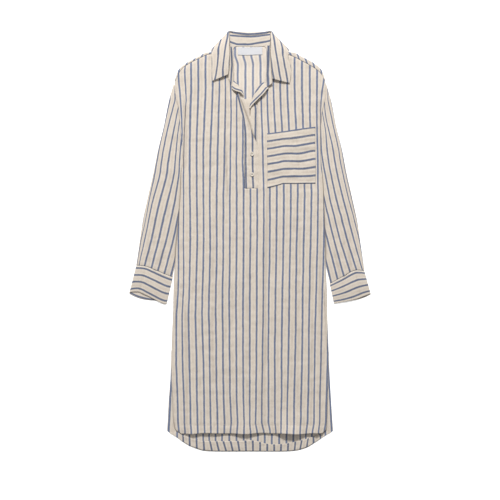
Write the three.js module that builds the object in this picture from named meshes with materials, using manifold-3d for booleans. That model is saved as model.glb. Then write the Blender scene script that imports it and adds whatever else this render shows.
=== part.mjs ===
// Popover shirt dress laid flat on its back, in millimetres.
// +Z is up from the surface it lies on, +Y runs from hem to collar, +X is the wearer's left.
// Each cloth piece is a closed wall, made from its sizes by the functions below.
import * as THREE from "three";
import Module from "manifold-3d";
import { mergeVertices } from "three/addons/utils/BufferGeometryUtils.js";

const wasm = await Module();
wasm.setup();

// ---- driving sizes -------------------------------------------------------
const CLOTH = 1.0; // wall thickness of a cloth layer
const GAP = 0.35; // between pieces at a seam or between layers
const BACK_MID = CLOTH / 2; // middle of the back panel, which lies on the surface
const FALL_RAISE = 1.6; // the back neck lies on the collar's back fall
const FRONT_EDGE = BACK_MID + CLOTH + GAP; // middle of the front panel at its side seams
const FRONT_CROWN = 1.8; // how much higher the front lies away from its edges
const CROWN_REACH = 36; // distance over which it gets there
const HALF_COLUMNS = 8; // grid columns in each half of the front
const SLOT = { left: -15.4, right: 19.9, foot: 147 }; // popover slot
const BUTTON = { radius: 5, height: 2.6, x: 5.9, upperY: 243.6, lowerY: 186.2 };
const SLEEVE_CROWN = 3.4;
const CUFF_CROWN = 3.0;

// ---- tables: one row for each section or fold ------------------------------
// Body side edges, from the hem up to the underarm.
const SIDES = [
  { y: -538.7, left: -193.2, right: 200.2 },
  { y: -527.8, left: -209.4, right: 213.6 },
  { y: -495.6, left: -215.3, right: 216.2 },
  { y: -445.2, left: -217, right: 217.3 },
  { y: -389.2, left: -219.5, right: 219 },
  { y: -327.6, left: -220.1, right: 220.1 },
  { y: -266, left: -218.4, right: 218.4 },
  { y: -204.4, left: -215.6, right: 216.2 },
  { y: -154, left: -214.5, right: 215.6 },
  { y: -103.6, left: -212.8, right: 213.6 },
  { y: -58.8, left: -210.3, right: 212 },
  { y: -14, left: -207.2, right: 211.4 },
  { y: 30.8, left: -203, right: 209.7 },
  { y: 70, left: -199.6, right: 208.3 },
  { y: 109.2, left: -196.8, right: 206.9 },
  { y: 147, left: -194.6, right: 205.5 },
  { y: 184.8, left: -193.5, right: 202.7 },
];
// Armholes from underarm to shoulder tip (arm), and the front's inner edge level
// with each: placket seam, then neck seam (neck).
const ARM_LEFT = [
  { armX: -187.6, armY: 221.2, neckX: -15.4, neckY: 226.8 },
  { armX: -190.4, armY: 254.8, neckX: -15.4, neckY: 263.2 },
  { armX: -194.6, armY: 296.8, neckX: -15.4, neckY: 302.4 },
  { armX: -197.4, armY: 338.8, neckX: -16, neckY: 336 },
  { armX: -200.5, armY: 372.4, neckX: -22.4, neckY: 366.8 },
  { armX: -207.5, armY: 397.6, neckX: -32.2, neckY: 396.2 },
  { armX: -210.3, armY: 420, neckX: -43.1, neckY: 420.6 },
  { armX: -210.8, armY: 439.6, neckX: -46.8, neckY: 467.6 },
];
const ARM_RIGHT = [
  { armX: 198.5, armY: 229.6, neckX: 19.9, neckY: 226.8 },
  { armX: 197.7, armY: 266, neckX: 19.9, neckY: 263.2 },
  { armX: 198.2, armY: 310.8, neckX: 19.9, neckY: 302.4 },
  { armX: 201.6, armY: 355.6, neckX: 19.9, neckY: 336 },
  { armX: 207.2, armY: 380.8, neckX: 20.4, neckY: 372.4 },
  { armX: 212.2, armY: 397.6, neckX: 29.4, neckY: 400.4 },
  { armX: 213.9, armY: 422.8, neckX: 42, neckY: 424.2 },
  { armX: 211.7, armY: 442.4, neckX: 45.9, neckY: 467.6 },
];
// Forward shoulder seam, from shoulder tip to neck: the front's top edge, and
// the shoulder fold of the back panel beyond it.
const SHOULDER_LEFT = [
  { seamX: -208, seamY: 447.4, foldX: -210, foldY: 451.9 },
  { seamX: -201, seamY: 464.8, foldX: -205.5, foldY: 467.6 },
  { seamX: -188.7, seamY: 483.8, foldX: -194.9, foldY: 483.8 },
  { seamX: -168, seamY: 498.7, foldX: -170.8, foldY: 503.4 },
  { seamX: -144.5, seamY: 511.3, foldX: -147.3, foldY: 516.9 },
  { seamX: -121.2, seamY: 521.1, foldX: -122.6, foldY: 526.7 },
  { seamX: -95.2, seamY: 525.8, foldX: -95.2, foldY: 528.6 },
  { seamX: -70, seamY: 534.2, foldX: -70, foldY: 537.9 },
  { seamX: -46.8, seamY: 538.7, foldX: -45.9, foldY: 542.6 },
];
const SHOULDER_RIGHT = [
  { seamX: 208.9, seamY: 449.7, foldX: 210, foldY: 451.9 },
  { seamX: 200.2, seamY: 465.9, foldX: 205.5, foldY: 467.6 },
  { seamX: 187.6, seamY: 479.1, foldX: 194.9, foldY: 483.8 },
  { seamX: 164.6, seamY: 494.2, foldX: 170.8, foldY: 503.4 },
  { seamX: 141.1, seamY: 507.1, foldX: 147.3, foldY: 516.9 },
  { seamX: 119.3, seamY: 517.4, foldX: 122.6, foldY: 526.7 },
  { seamX: 95.2, seamY: 525.3, foldX: 95.2, foldY: 528.6 },
  { seamX: 70, seamY: 534.2, foldX: 70, foldY: 537.9 },
  { seamX: 45.9, seamY: 538.7, foldX: 45.9, foldY: 542.6 },
];
// Back hem: a shirt-tail curve, deepest in the middle.
const HEM = [
  { x: -232.4, y: -530.9 },
  { x: -222.6, y: -539.3 },
  { x: -203.6, y: -550.5 },
  { x: -186.2, y: -563.4 },
  { x: -169.1, y: -574 },
  { x: -135, y: -586.3 },
  { x: -98, y: -589.4 },
  { x: 0, y: -589.4 },
  { x: 98, y: -589.4 },
  { x: 133, y: -586.3 },
  { x: 161, y: -577.4 },
  { x: 186.2, y: -561.7 },
  { x: 210, y: -546 },
  { x: 225.4, y: -537 },
  { x: 233, y: -530.9 },
];
// Back panel side edges where they differ from the front's, at the slits.
const BACK_SIDES = [
  { y: -527.8, left: -231.3, right: 231.8 },
  { y: -495.6, left: -230.2, right: 230.2 },
  { y: -445.2, left: -227.9, right: 226.8 },
  { y: -389.2, left: -222.9, right: 223.4 },
  { y: -327.6, left: -220.6, right: 220.6 },
];
// Soft vertical folds of the front: where, how high, how wide, from and to.
const FOLDS = [
  { x: -179.2, rise: 1.1, width: 15, from: -523.6, to: 400.4 },
  { x: -123.2, rise: 0.7, width: 16, from: -515.2, to: 142.8 },
  { x: -67.2, rise: -0.6, width: 15, from: -445.2, to: 310.8 },
  { x: -28, rise: 0.7, width: 14, from: -537.6, to: 72.8 },
  { x: 44.8, rise: -1.0, width: 11, from: -515.2, to: 126 },
  { x: 95.2, rise: 0.6, width: 15, from: -529.2, to: 114.8 },
  { x: 154, rise: -0.7, width: 15, from: -501.2, to: 114.8 },
  { x: 184.8, rise: 0.9, width: 14, from: -529.2, to: 380.8 },
];
// Where the front hem lifts off the back.
const HEM_LIFTS = [
  { x: -137.2, rise: 0.8, width: 30 },
  { x: -11.2, rise: 0.9, width: 34 },
  { x: 123.2, rise: 1.3, width: 36 },
  { x: 184.8, rise: 1.0, width: 22 },
];
// Sleeve sections: outer edge of the sleeve, level with body side point inner.
const SLEEVE_OUTER = [
  { y: 439.6, half: 213.9 },
  { y: 389.2, half: 227.9 },
  { y: 322, half: 240.8 },
  { y: 254.8, half: 257.6 },
  { y: 190.4, half: 270.5 },
  { y: 126, half: 285 },
  { y: 61.6, half: 299 },
  { y: -2.8, half: 309.1 },
  { y: -67.8, half: 318.9 },
];
// Cuffs: corner points. Upper lip and under lip of the opening differ.
const CUFF_RIGHT = { // wearer's right
  topOuter: { x: -318.4, y: -68.9 }, topMid: { x: -288.4, y: -75 }, topInner: { x: -216.2, y: -103.6 },
  lipOuter: { x: -338.5, y: -146.2 }, lipMid: { x: -296.8, y: -151.8 }, lipInner: { x: -233.8, y: -175.3 },
  under: -5.6,
};
const CUFF_LEFT = { // wearer's left
  topOuter: { x: 320.3, y: -85.1 }, topMid: { x: 288.4, y: -85.7 }, topInner: { x: 222.9, y: -121.5 },
  lipOuter: { x: 338.5, y: -146.7 }, lipMid: { x: 294, y: -157.9 }, lipInner: { x: 235.2, y: -175.3 },
  under: -3.4,
};
// Collar stand: seam point and roll point at stations from the wearer's right
// front end to the middle back; the other half is the mirror of it.
const STAND = [
  { seamX: -49.8, seamY: 429.5, seamZ: 5.4, rollX: -58.8, rollY: 453.6, rollZ: 8.0 },
  { seamX: -44.8, seamY: 449.7, seamZ: 5.0, rollX: -54.9, rollY: 481.6, rollZ: 11.0 },
  { seamX: -43.1, seamY: 478.8, seamZ: 4.7, rollX: -53.8, rollY: 512.4, rollZ: 12.4 },
  { seamX: -43.1, seamY: 512.4, seamZ: 4.6, rollX: -53.5, rollY: 546, rollZ: 9.8 },
  { seamX: -42.6, seamY: 535.4, seamZ: 4.3, rollX: -53.5, rollY: 569.8, rollZ: 5.2 },
  { seamX: -39.2, seamY: 543.5, seamZ: 3.2, rollX: -50.4, rollY: 581.3, rollZ: 2.7 },
  { seamX: -26.6, seamY: 543.2, seamZ: 2.4, rollX: -30.8, rollY: 577.9, rollZ: 2.4 },
  { seamX: 0, seamY: 543.2, seamZ: 2.2, rollX: 0, rollY: 575.7, rollZ: 2.4 },
];
// Collar leaf: its roll edge and its outer edge at stations from the wing's
// front end, over the side fold, to the fall behind the neck; mirrored too.
const LEAF = [
  { rollX: -61, rollY: 463.7, rollZ: 9.2, outX: -104.4, outY: 448, outZ: 6.9, swell: 0.8 },
  { rollX: -57.7, rollY: 487.2, rollZ: 12.0, outX: -105.3, outY: 464.8, outZ: 6.6, swell: 1.2 },
  { rollX: -56.6, rollY: 515.2, rollZ: 13.2, outX: -105.8, outY: 485.8, outZ: 6.4, swell: 1.5 },
  { rollX: -57.1, rollY: 546, rollZ: 10.8, outX: -105.6, outY: 506.8, outZ: 6.2, swell: 1.8 },
  { rollX: -56.8, rollY: 568.4, rollZ: 6.6, outX: -104.4, outY: 523.6, outZ: 4.8, swell: 2.4 },
  { rollX: -56.3, rollY: 583.5, rollZ: 3.2, outX: -103, outY: 531.4, outZ: 2.5, swell: 0.3 },
  { rollX: -56.3, rollY: 588.8, rollZ: 1.9, outX: -104.7, outY: 534.2, outZ: 1.5, swell: 0 },
];
// The wearer's left ends of stand and leaf lie a little lower than the mirror image.
const STAND_LEFT_END = [
  { seamX: 46.5, seamY: 422.2, seamZ: 6.4, rollX: 59.9, rollY: 440.7, rollZ: 8.4 },
  { seamX: 43.7, seamY: 444.1, seamZ: 5.4, rollX: 56.6, rollY: 473.2, rollZ: 10.8 },
];
const LEAF_LEFT_END = [
  { rollX: 62.7, rollY: 451.9, rollZ: 9.6, outX: 110.3, outY: 442.4, outZ: 6.9 },
  { rollX: 59.9, rollY: 478.8, rollZ: 12.0, outX: 114, outY: 462, outZ: 6.6 },
  { rollX: 57.7, rollY: 512.4, rollZ: 13.2, outX: 114.5, outY: 485.8, outZ: 6.4 },
];
const FALL = { foldY: 581.3, cornerY: 587.4, edgeY: 532, edgeZ: 0.5, foldZ: 2.2 };
// Turned-out ends of the bands: roll line and free edge at stations from the neck down.
const LAPEL_UNDER = [
    { rollX: 35.8, rollY: 445.2, rollZ: 6.9, freeX: 44.5, freeY: 419.4, freeZ: 7.6 },
  { rollX: 24.6, rollY: 433.4, rollZ: 6.8, freeX: 37.5, freeY: 410.5, freeZ: 7.4 },
  { rollX: 15.7, rollY: 417.2, rollZ: 6.4, freeX: 28.6, freeY: 400.7, freeZ: 7.0 },
  { rollX: 6.2, rollY: 397, rollZ: 5.2, freeX: 14.6, freeY: 388.6, freeZ: 6.0 },
  { rollX: -1.1, rollY: 380.8, rollZ: 4.4, freeX: 3.4, freeY: 375.2, freeZ: 4.8 },
];
const LAPEL_OVER = [
  { rollX: -39.5, rollY: 444.6, rollZ: 6.4, freeX: -47, freeY: 422.2, freeZ: 6.8 },
  { rollX: -32.5, rollY: 436.2, rollZ: 6.4, freeX: -39.8, freeY: 418.3, freeZ: 6.8 },
  { rollX: -25.2, rollY: 426.7, rollZ: 6.2, freeX: -31.9, freeY: 415.5, freeZ: 6.8 },
  { rollX: -16.2, rollY: 411.6, rollZ: 5.6, freeX: -21.3, freeY: 405.4, freeZ: 6.2 },
];
// Bands below the turned-out ends: edges from foot to neck.
const BAND_OVER = [
  { y: 147.8, left: -14.6, right: 18.8 },
  { y: 184.8, left: -14.6, right: 18.8 },
  { y: 226.8, left: -14.6, right: 18.8 },
  { y: 263.2, left: -14.6, right: 18.2 },
  { y: 302.4, left: -14.6, right: 9.2 },
  { y: 336, left: -14.8, right: -0.6 },
  { y: 366.8, left: -20.7, right: -10.4 },
  { y: 396.2, left: -30.2, right: -16.2 },
  { y: 409.9, left: -34.7, right: -17.4 },
];
const BAND_UNDER = [
  { y: 148.4, left: -11.2, right: 18.5 },
  { y: 184.8, left: -11.2, right: 18.5 },
  { y: 226.8, left: -11.2, right: 18.5 },
  { y: 263.2, left: -11.2, right: 18.5 },
  { y: 302.4, left: -11.2, right: 18.5 },
  { y: 336, left: -11.2, right: 18.5 },
  { y: 372.4, left: -5, right: 18.8 },
  { y: 385, left: 1.7, right: 20.2 },
];
const POCKET = { left: 48.7, right: 182.6, topLeft: 301.8, topRight: 319.2, footLeft: 148.4, footMid: 159, footRight: 160.2 };
const LABEL = { left: -33.9, right: 34.4, top: 539.3, foot: 519.7 };
const FACING_DEPTH = 24; // visible depth of the hem facing
const FACING_INSET = 1.5;

// ---- small functions -------------------------------------------------------
const lerp = (a, b, t) => a + (b - a) * t;
const clamp01 = (t) => Math.min(1, Math.max(0, t));
const smooth = (t) => clamp01(t) * clamp01(t) * (3 - 2 * clamp01(t));
const bump = (d, width) => Math.exp(-(d * d) / (2 * width * width));

// Linear reading of a table's column at a value of its key column.
function read(table, key, column, value) {
  const up = table[0][key] < table[table.length - 1][key];
  for (let i = 0; i + 1 < table.length; i++) {
    const a = table[i], b = table[i + 1];
    if (up ? value <= b[key] : value >= b[key])
      return lerp(a[column], b[column], clamp01((value - a[key]) / (b[key] - a[key])));
  }
  return table[table.length - 1][column];
}

// Height that the collar's fall adds under the back neck.
const raise = (x, y) => FALL_RAISE * smooth((y - 490) / (523.6 - 490)) * (1 - smooth((Math.abs(x) - 104) / 26));

// Middle height of the front panel.
function frontZ(x, y, edge) {
  let z = FRONT_EDGE + FRONT_CROWN * smooth(edge / CROWN_REACH);
  for (const f of FOLDS)
    z += f.rise * bump(x - f.x, f.width) * smooth((y - f.from) / 60) * smooth((f.to - y) / 60) * smooth(edge / 12);
  for (const h of HEM_LIFTS)
    z += h.rise * bump(x - h.x, h.width) * smooth((y - -366.8) / (-537.6 - -366.8));
  return z + raise(x, y) * (1 - 0.55 * smooth(edge / CROWN_REACH));
}
// Distance of a point from the front's outer edges.
function edgeDistance(x, y) {
  const side = y < 221.2 ? Math.min(x - read(SIDES, "y", "left", y), read(SIDES, "y", "right", y) - x)
    : Math.min(x - read(ARM_LEFT, "armY", "armX", y), read(ARM_RIGHT, "armY", "armX", y) - x);
  const half = x < 0 ? SHOULDER_LEFT : SHOULDER_RIGHT;
  const shoulder = (read(half, "seamX", "seamY", x) - y) * 0.8;
  return Math.max(0, Math.min(side, shoulder));
}
const frontMid = (x, y) => frontZ(x, y, edgeDistance(x, y));

// ---- solids ------------------------------------------------------------------
function solid(vertices, triangles) {
  const g = new THREE.BufferGeometry();
  g.setAttribute("position", new THREE.Float32BufferAttribute(vertices.flat(), 3));
  g.setIndex(triangles.flat());
  return g;
}
// A wall on a grid of middle points. flat walls take their thickness along Z.
function wall(grid, { thick = CLOTH, flat = true, open = () => false, low = null } = {}) {
  const rows = grid.length, cols = grid[0].length;
  const normal = (i, j) => {
    if (flat) return new THREE.Vector3(0, 0, 1);
    const n = new THREE.Vector3();
    for (const [di, dj] of [[0, 0], [-1, 0], [0, -1], [-1, -1]]) {
      const a = i + di, b = j + dj;
      if (a < 0 || b < 0 || a + 1 >= rows || b + 1 >= cols) continue;
      const u = grid[a][b + 1].clone().sub(grid[a][b]).add(grid[a + 1][b + 1]).sub(grid[a + 1][b]);
      const v = grid[a + 1][b].clone().sub(grid[a][b]).add(grid[a + 1][b + 1]).sub(grid[a][b + 1]);
      n.add(u.cross(v).normalize());
    }
    return n.normalize();
  };
  const vertices = [], id = (i, j, side) => 2 * (i * cols + j) + side;
  for (let i = 0; i < rows; i++)
    for (let j = 0; j < cols; j++) {
      const p = grid[i][j], n = normal(i, j).multiplyScalar(thick / 2);
      const bottom = p.clone().sub(n), top = p.clone().add(n);
      if (low) bottom.z = low(p.x, p.y, i, j, bottom.z);
      vertices.push(bottom.toArray(), top.toArray());
    }
  const live = (i, j) => i >= 0 && j >= 0 && i + 1 < rows && j + 1 < cols && !open(i, j);
  const triangles = [];
  const quad = (a, b, c, d) => triangles.push([a, b, c], [a, c, d]);
  for (let i = 0; i + 1 < rows; i++)
    for (let j = 0; j + 1 < cols; j++) {
      if (!live(i, j)) continue;
      quad(id(i, j, 1), id(i, j + 1, 1), id(i + 1, j + 1, 1), id(i + 1, j, 1));
      quad(id(i, j, 0), id(i + 1, j, 0), id(i + 1, j + 1, 0), id(i, j + 1, 0));
      if (!live(i - 1, j)) quad(id(i, j, 0), id(i, j + 1, 0), id(i, j + 1, 1), id(i, j, 1));
      if (!live(i + 1, j)) quad(id(i + 1, j + 1, 0), id(i + 1, j, 0), id(i + 1, j, 1), id(i + 1, j + 1, 1));
      if (!live(i, j - 1)) quad(id(i + 1, j, 0), id(i, j, 0), id(i, j, 1), id(i + 1, j, 1));
      if (!live(i, j + 1)) quad(id(i, j + 1, 0), id(i + 1, j + 1, 0), id(i + 1, j + 1, 1), id(i, j + 1, 1));
    }
  // keep only vertices in use
  const used = new Map(), kept = [];
  for (const t of triangles)
    t.forEach((v, k) => {
      if (!used.has(v)) { used.set(v, kept.length); kept.push(vertices[v]); }
      t[k] = used.get(v);
    });
  return solid(kept, triangles);
}
// A flattened tube: sections of matched outer and inner loops.
function tube(sections) {
  const n = sections[0].outer.length, vertices = [], triangles = [];
  for (const s of sections) for (const loop of [s.outer, s.inner]) for (const p of loop) vertices.push(p);
  const id = (k, loop, m) => (2 * k + loop) * n + (m % n);
  const quad = (a, b, c, d) => triangles.push([a, b, c], [a, c, d]);
  for (let m = 0; m < n; m++) {
    for (let k = 0; k + 1 < sections.length; k++) {
      quad(id(k, 0, m), id(k, 0, m + 1), id(k + 1, 0, m + 1), id(k + 1, 0, m));
      quad(id(k, 1, m), id(k + 1, 1, m), id(k + 1, 1, m + 1), id(k, 1, m + 1));
    }
    const e = sections.length - 1;
    quad(id(0, 0, m), id(0, 1, m), id(0, 1, m + 1), id(0, 0, m + 1));
    quad(id(e, 0, m), id(e, 0, m + 1), id(e, 1, m + 1), id(e, 1, m));
  }
  return solid(vertices, triangles);
}
// One section of a flattened tube, along the points of its upper line.
function flatSection(line, crown, underShift = 0) {
  const last = line.length - 1, outer = [], inner = [];
  const total = Math.hypot(line[last].x - line[0].x, line[last].y - line[0].y);
  let run = 0;
  const at = line.map((p, m) => (m ? (run += Math.hypot(p.x - line[m - 1].x, p.y - line[m - 1].y)) : 0));
  const top = (t) => 2.4 + crown * Math.pow(Math.sin(Math.PI * clamp01(t)), 0.8);
  const dirs = line.map((p, m) => {
    const a = line[Math.max(0, m - 1)], b = line[Math.min(last, m + 1)], l = Math.hypot(b.x - a.x, b.y - a.y);
    return { x: (b.x - a.x) / l, y: (b.y - a.y) / l };
  });
  const put = (list, m, inset, z, shift) => {
    const i = Math.min(inset, total * 0.3), s = m === 0 ? i : m === last ? -i : 0;
    list.push([line[m].x + dirs[m].x * s, line[m].y + dirs[m].y * s + shift, z]);
  };
  for (let m = 0; m <= last; m++) { // upper layer
    const t = at[m] / run;
    put(outer, m, 0.7, top(t), 0);
    put(inner, m, 1.5, top(t) - CLOTH, 0);
  }
  put(outer, last, 0, 1.2, underShift / 2);
  put(inner, last, 1.1, 1.2, underShift / 2);
  for (let m = last; m >= 0; m--) { // under layer
    put(outer, m, 0.7, 0, underShift);
    put(inner, m, 1.5, CLOTH, underShift);
  }
  put(outer, 0, 0, 1.2, underShift / 2);
  put(inner, 0, 1.1, 1.2, underShift / 2);
  return { outer, inner };
}
function manifoldOf(geometry) {
  const g = geometry.clone();
  g.deleteAttribute("normal");
  g.deleteAttribute("uv");
  const m = mergeVertices(g, 1e-3);
  return new wasm.Manifold(new wasm.Mesh({ numProp: 3, vertProperties: m.attributes.position.array, triVerts: new Uint32Array(m.index.array) }));
}
function joined(a, b) {
  const m = manifoldOf(a).add(manifoldOf(b)).getMesh();
  const g = new THREE.BufferGeometry();
  g.setAttribute("position", new THREE.BufferAttribute(m.vertProperties, 3));
  g.setIndex(new THREE.BufferAttribute(m.triVerts, 1));
  return g;
}
const V = (x, y, z) => new THREE.Vector3(x, y, z);

// ---- front -----------------------------------------------------------------
function frontGrid() {
  const rows = [];
  const N = HALF_COLUMNS;
  for (const s of SIDES) {
    const row = [];
    for (let j = 0; j <= N; j++) row.push([lerp(s.left, SLOT.left, j / N), s.y]);
    for (let j = 0; j <= N; j++) row.push([lerp(SLOT.right, s.right, j / N), s.y]);
    rows.push(row);
  }
  for (let k = 0; k < ARM_LEFT.length; k++) {
    const l = ARM_LEFT[k], r = ARM_RIGHT[k], row = [];
    for (let j = 0; j <= N; j++) row.push([lerp(l.armX, l.neckX, j / N), lerp(l.armY, l.neckY, j / N)]);
    for (let j = 0; j <= N; j++) row.push([lerp(r.neckX, r.armX, j / N), lerp(r.neckY, r.armY, j / N)]);
    rows.push(row);
  }
  rows.push([...SHOULDER_LEFT.map((s) => [s.seamX, s.seamY]), ...SHOULDER_RIGHT.slice().reverse().map((s) => [s.seamX, s.seamY])]);
  return rows.map((row) => row.map(([x, y]) => V(x, y, frontMid(x, y))));
}
const footRow = SIDES.length - 2; // the slot is open above this row
const front = wall(frontGrid(), { open: (i, j) => j === HALF_COLUMNS && i >= footRow });

// ---- back ------------------------------------------------------------------
// One grid for the whole back, so that its underside is one surface.
function backWall() {
  const line = [...SHOULDER_LEFT, ...SHOULDER_RIGHT.slice().reverse()];
  const N = line.length - 1;
  const rows = [];
  const hemLeft = HEM[0].x, hemRight = HEM[HEM.length - 1].x;
  rows.push(Array.from({ length: N + 1 }, (_, j) => {
    const x = lerp(hemLeft, hemRight, j / N);
    return [x, read(HEM, "x", "y", x)];
  }));
  for (const y of SIDES.slice(1).map((s) => s.y)) {
    const own = y <= -327.6 + 0.1;
    const l = own ? read(BACK_SIDES, "y", "left", y) : read(SIDES, "y", "left", y);
    const r = own ? read(BACK_SIDES, "y", "right", y) : read(SIDES, "y", "right", y);
    rows.push(Array.from({ length: N + 1 }, (_, j) => {
      const x = lerp(l, r, j / N), hem = read(HEM, "x", "y", x);
      return [x, Math.max(y, hem + (y === SIDES[1].y ? 3 : 6))];
    }));
  }
  for (let k = 0; k < ARM_LEFT.length; k++) {
    const l = ARM_LEFT[k], r = ARM_RIGHT[k];
    rows.push(Array.from({ length: N + 1 }, (_, j) => [lerp(l.armX, r.armX, j / N), lerp(l.armY, r.armY, j / N)]));
  }
  const step = (s, d) => {
    const l = Math.hypot(s.foldX - s.seamX, s.foldY - s.seamY);
    return [s.seamX + ((s.foldX - s.seamX) * d) / l, s.seamY + ((s.foldY - s.seamY) * d) / l];
  };
  const base = rows.length;
  rows.push(line.map((s) => step(s, GAP + 0.1)), line.map((s) => step(s, GAP + 0.6)), line.map((s) => [s.foldX, s.foldY]));
  const grid = rows.map((row, i) => row.map(([x, y]) => {
    const turned = i > base && Math.abs(x) > 112 ? 1 : 0;
    return V(x, y, BACK_MID + raise(x, y) + turned * 1.7);
  }));
  return wall(grid, { low: (x, y, i, j, z) => raise(x, y) });
}
const back = backWall();

// ---- back hem facing -----------------------------------------------------------
function facingWall() {
  const rows = [[], [], []], N = 16, from = -177.8, to = 189;
  for (let j = 0; j <= N; j++) {
    const x = lerp(from, to, j / N), low = read(HEM, "x", "y", x) + FACING_INSET;
    const high = Math.min(low + FACING_DEPTH, -543.8);
    rows.forEach((row, k) => row.push(V(x, lerp(low, Math.max(high, low + 4), k / 2), BACK_MID + CLOTH + GAP)));
  }
  return wall(rows);
}
const facing = facingWall();

// ---- sleeves and cuffs ---------------------------------------------------------
function bend(a, b, d, t) { // quadratic through three points
  const u = (b.x - a.x) / (d.x - a.x);
  const l0 = ((t - u) * (t - 1)) / u, l1 = (t * (t - 1)) / (u * (u - 1)), l2 = (t * (t - u)) / (1 - u);
  return { x: lerp(a.x, d.x, t), y: l0 * a.y + l1 * b.y + l2 * d.y };
}
function sleeveSections(arm, cuff, sign, key) {
  // level 0 is the armhole seam itself, from shoulder tip to underarm
  const hole = arm.slice().reverse().map((a) => ({ x: a.armX, y: a.armY }));
  let run = 0;
  const along = hole.map((p, m) => (m ? (run += Math.hypot(p.x - hole[m - 1].x, p.y - hole[m - 1].y)) : 0));
  const f = along.map((d) => d / run);
  const inner = SIDES.slice().reverse(); // from y 175 down
  return SLEEVE_OUTER.map((o, k) => {
    const outer = { x: sign * o.half, y: o.y };
    const inside = k === 0 ? hole[hole.length - 1] : { x: inner[k - 1][key], y: inner[k - 1].y };
    const line = f.map((t, m) => {
      if (k === SLEEVE_OUTER.length - 1) { // the cuff seam
        const p = bend(cuff.topOuter, cuff.topMid, cuff.topInner, t);
        return { x: p.x, y: p.y + 0.9 };
      }
      const straight = { x: lerp(outer.x, inside.x, t), y: lerp(outer.y, inside.y, t) };
      const keep = k === 0 ? 1 : k === 1 ? 0.35 : 0; // how much of the armhole's curve it keeps
      if (k === 0) return { x: hole[m].x + sign * 0.55, y: hole[m].y };
      const curve = { x: hole[m].x - lerp(hole[0].x, hole[hole.length - 1].x, t), y: hole[m].y - lerp(hole[0].y, hole[hole.length - 1].y, t) };
      return { x: straight.x + keep * curve.x + sign * 0.55 * t, y: straight.y + keep * curve.y };
    });
    const crown = SLEEVE_CROWN * smooth((k + 1) / 4);
    return flatSection(line, crown);
  });
}
function cuffSections(c, sign) {
  const steps = [0, 0.1, 0.26, 0.42, 0.58, 0.74, 0.9, 1];
  return [0, 0.33, 0.67, 1].map((s) => {
    const line = steps.map((t) => {
      const a = bend(c.topOuter, c.topMid, c.topInner, t), b = bend(c.lipOuter, c.lipMid, c.lipInner, t);
      return { x: lerp(a.x, b.x, s), y: lerp(a.y, b.y, s) };
    });
    return flatSection(line, CUFF_CROWN, c.under * s);
  });
}
const outward = (sections, sign) => (sign > 0 ? sections : sections.map((s) => ({ outer: s.outer.slice().reverse(), inner: s.inner.slice().reverse() })));
const sleeveRight = tube(outward(sleeveSections(ARM_LEFT, CUFF_RIGHT, -1, "left"), -1));
const sleeveLeft = tube(outward(sleeveSections(ARM_RIGHT, CUFF_LEFT, 1, "right"), 1));
const cuffRight = tube(outward(cuffSections(CUFF_RIGHT, -1), -1));
const cuffLeft = tube(outward(cuffSections(CUFF_LEFT, 1), 1));

// ---- collar ---------------------------------------------------------------------
const mirrored = (table, xs, ends = []) => table.concat(table.slice(0, -1).reverse().map((s, i, all) => {
  const m = { ...s };
  for (const k of xs) m[k] = -m[k];
  return { ...m, ...ends[all.length - 1 - i] }; // the wearer's left end has rows of its own
}));
function standWall() {
  const stations = mirrored(STAND, ["seamX", "rollX"], STAND_LEFT_END);
  const rows = [0, 1, 2, 3].map((r) => stations.map((s) => {
    const t = r / 3;
    return V(lerp(s.seamX, s.rollX, t), lerp(s.seamY, s.rollY, t), lerp(s.seamZ, s.rollZ, t));
  }));
  return wall(rows, { flat: false });
}
function leafWall() {
  const wing = (table) => table.map((s) => [0, 0.08, 0.3, 0.55, 0.8, 1].map((t) =>
    V(lerp(s.rollX, s.outX, t), lerp(s.rollY, s.outY, t), lerp(s.rollZ, s.outZ, Math.sqrt(t) * 0.35 + t * 0.65) + s.swell * Math.sin(Math.PI * t) * 0.6)));
  // the fall behind the neck: under the stand and the back panel
  const corner = [
    [-52.1, 585.2, FALL.foldZ], [-53.2, 587.2, 1.4], [-58.8, 577.9, FALL.edgeZ],
    [-69.4, 562.8, FALL.edgeZ], [-82.9, 547.7, FALL.edgeZ], [-97.4, FALL.edgeY, FALL.edgeZ],
  ].map((p) => V(...p));
  const middle = [-39.2, -19.6, 0].map((x) => {
    const fold = lerp(FALL.foldY, FALL.cornerY, Math.pow(Math.abs(x) / 60, 2));
    return [[fold - 1.2, FALL.foldZ], [fold, 1.35], [fold - 1.2, FALL.edgeZ], [fold - 16, FALL.edgeZ], [fold - 33, FALL.edgeZ], [FALL.edgeY, FALL.edgeZ]].map(([y, z]) => V(x, y, z));
  });
  const flip = (row) => row.map((p) => V(-p.x, p.y, p.z));
  const left = mirrored(LEAF, ["rollX", "outX"], LEAF_LEFT_END).slice(LEAF.length - 1);
  left.unshift({ ...LEAF[LEAF.length - 1], rollX: -LEAF[LEAF.length - 1].rollX, outX: -LEAF[LEAF.length - 1].outX });
  return wall([...wing(LEAF), corner, ...middle, ...middle.slice(0, -1).reverse().map(flip), flip(corner), ...wing(left.slice(0, 1)), ...wing(left.slice(2))], { flat: false });
}
const stand = standWall();
const leaf = leafWall();

// ---- bands -------------------------------------------------------------------------
const overZ = (x, y) => frontMid(SLOT.left, Math.min(y, 394.8)) + 0.55 + 0.35 * clamp01((x - SLOT.left) / 34);
const underZ = (x, y) => frontMid(SLOT.left, Math.min(y, 394.8)) - 1.15 + 0.45 * clamp01((x - SLOT.left) / 34);
function bandGrid(table, height) {
  return table.map((r) => [0, 1, 2, 3].map((j) => {
    const x = lerp(r.left, r.right, j / 3);
    return V(x, r.y, height(x, r.y));
  }));
}
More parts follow.
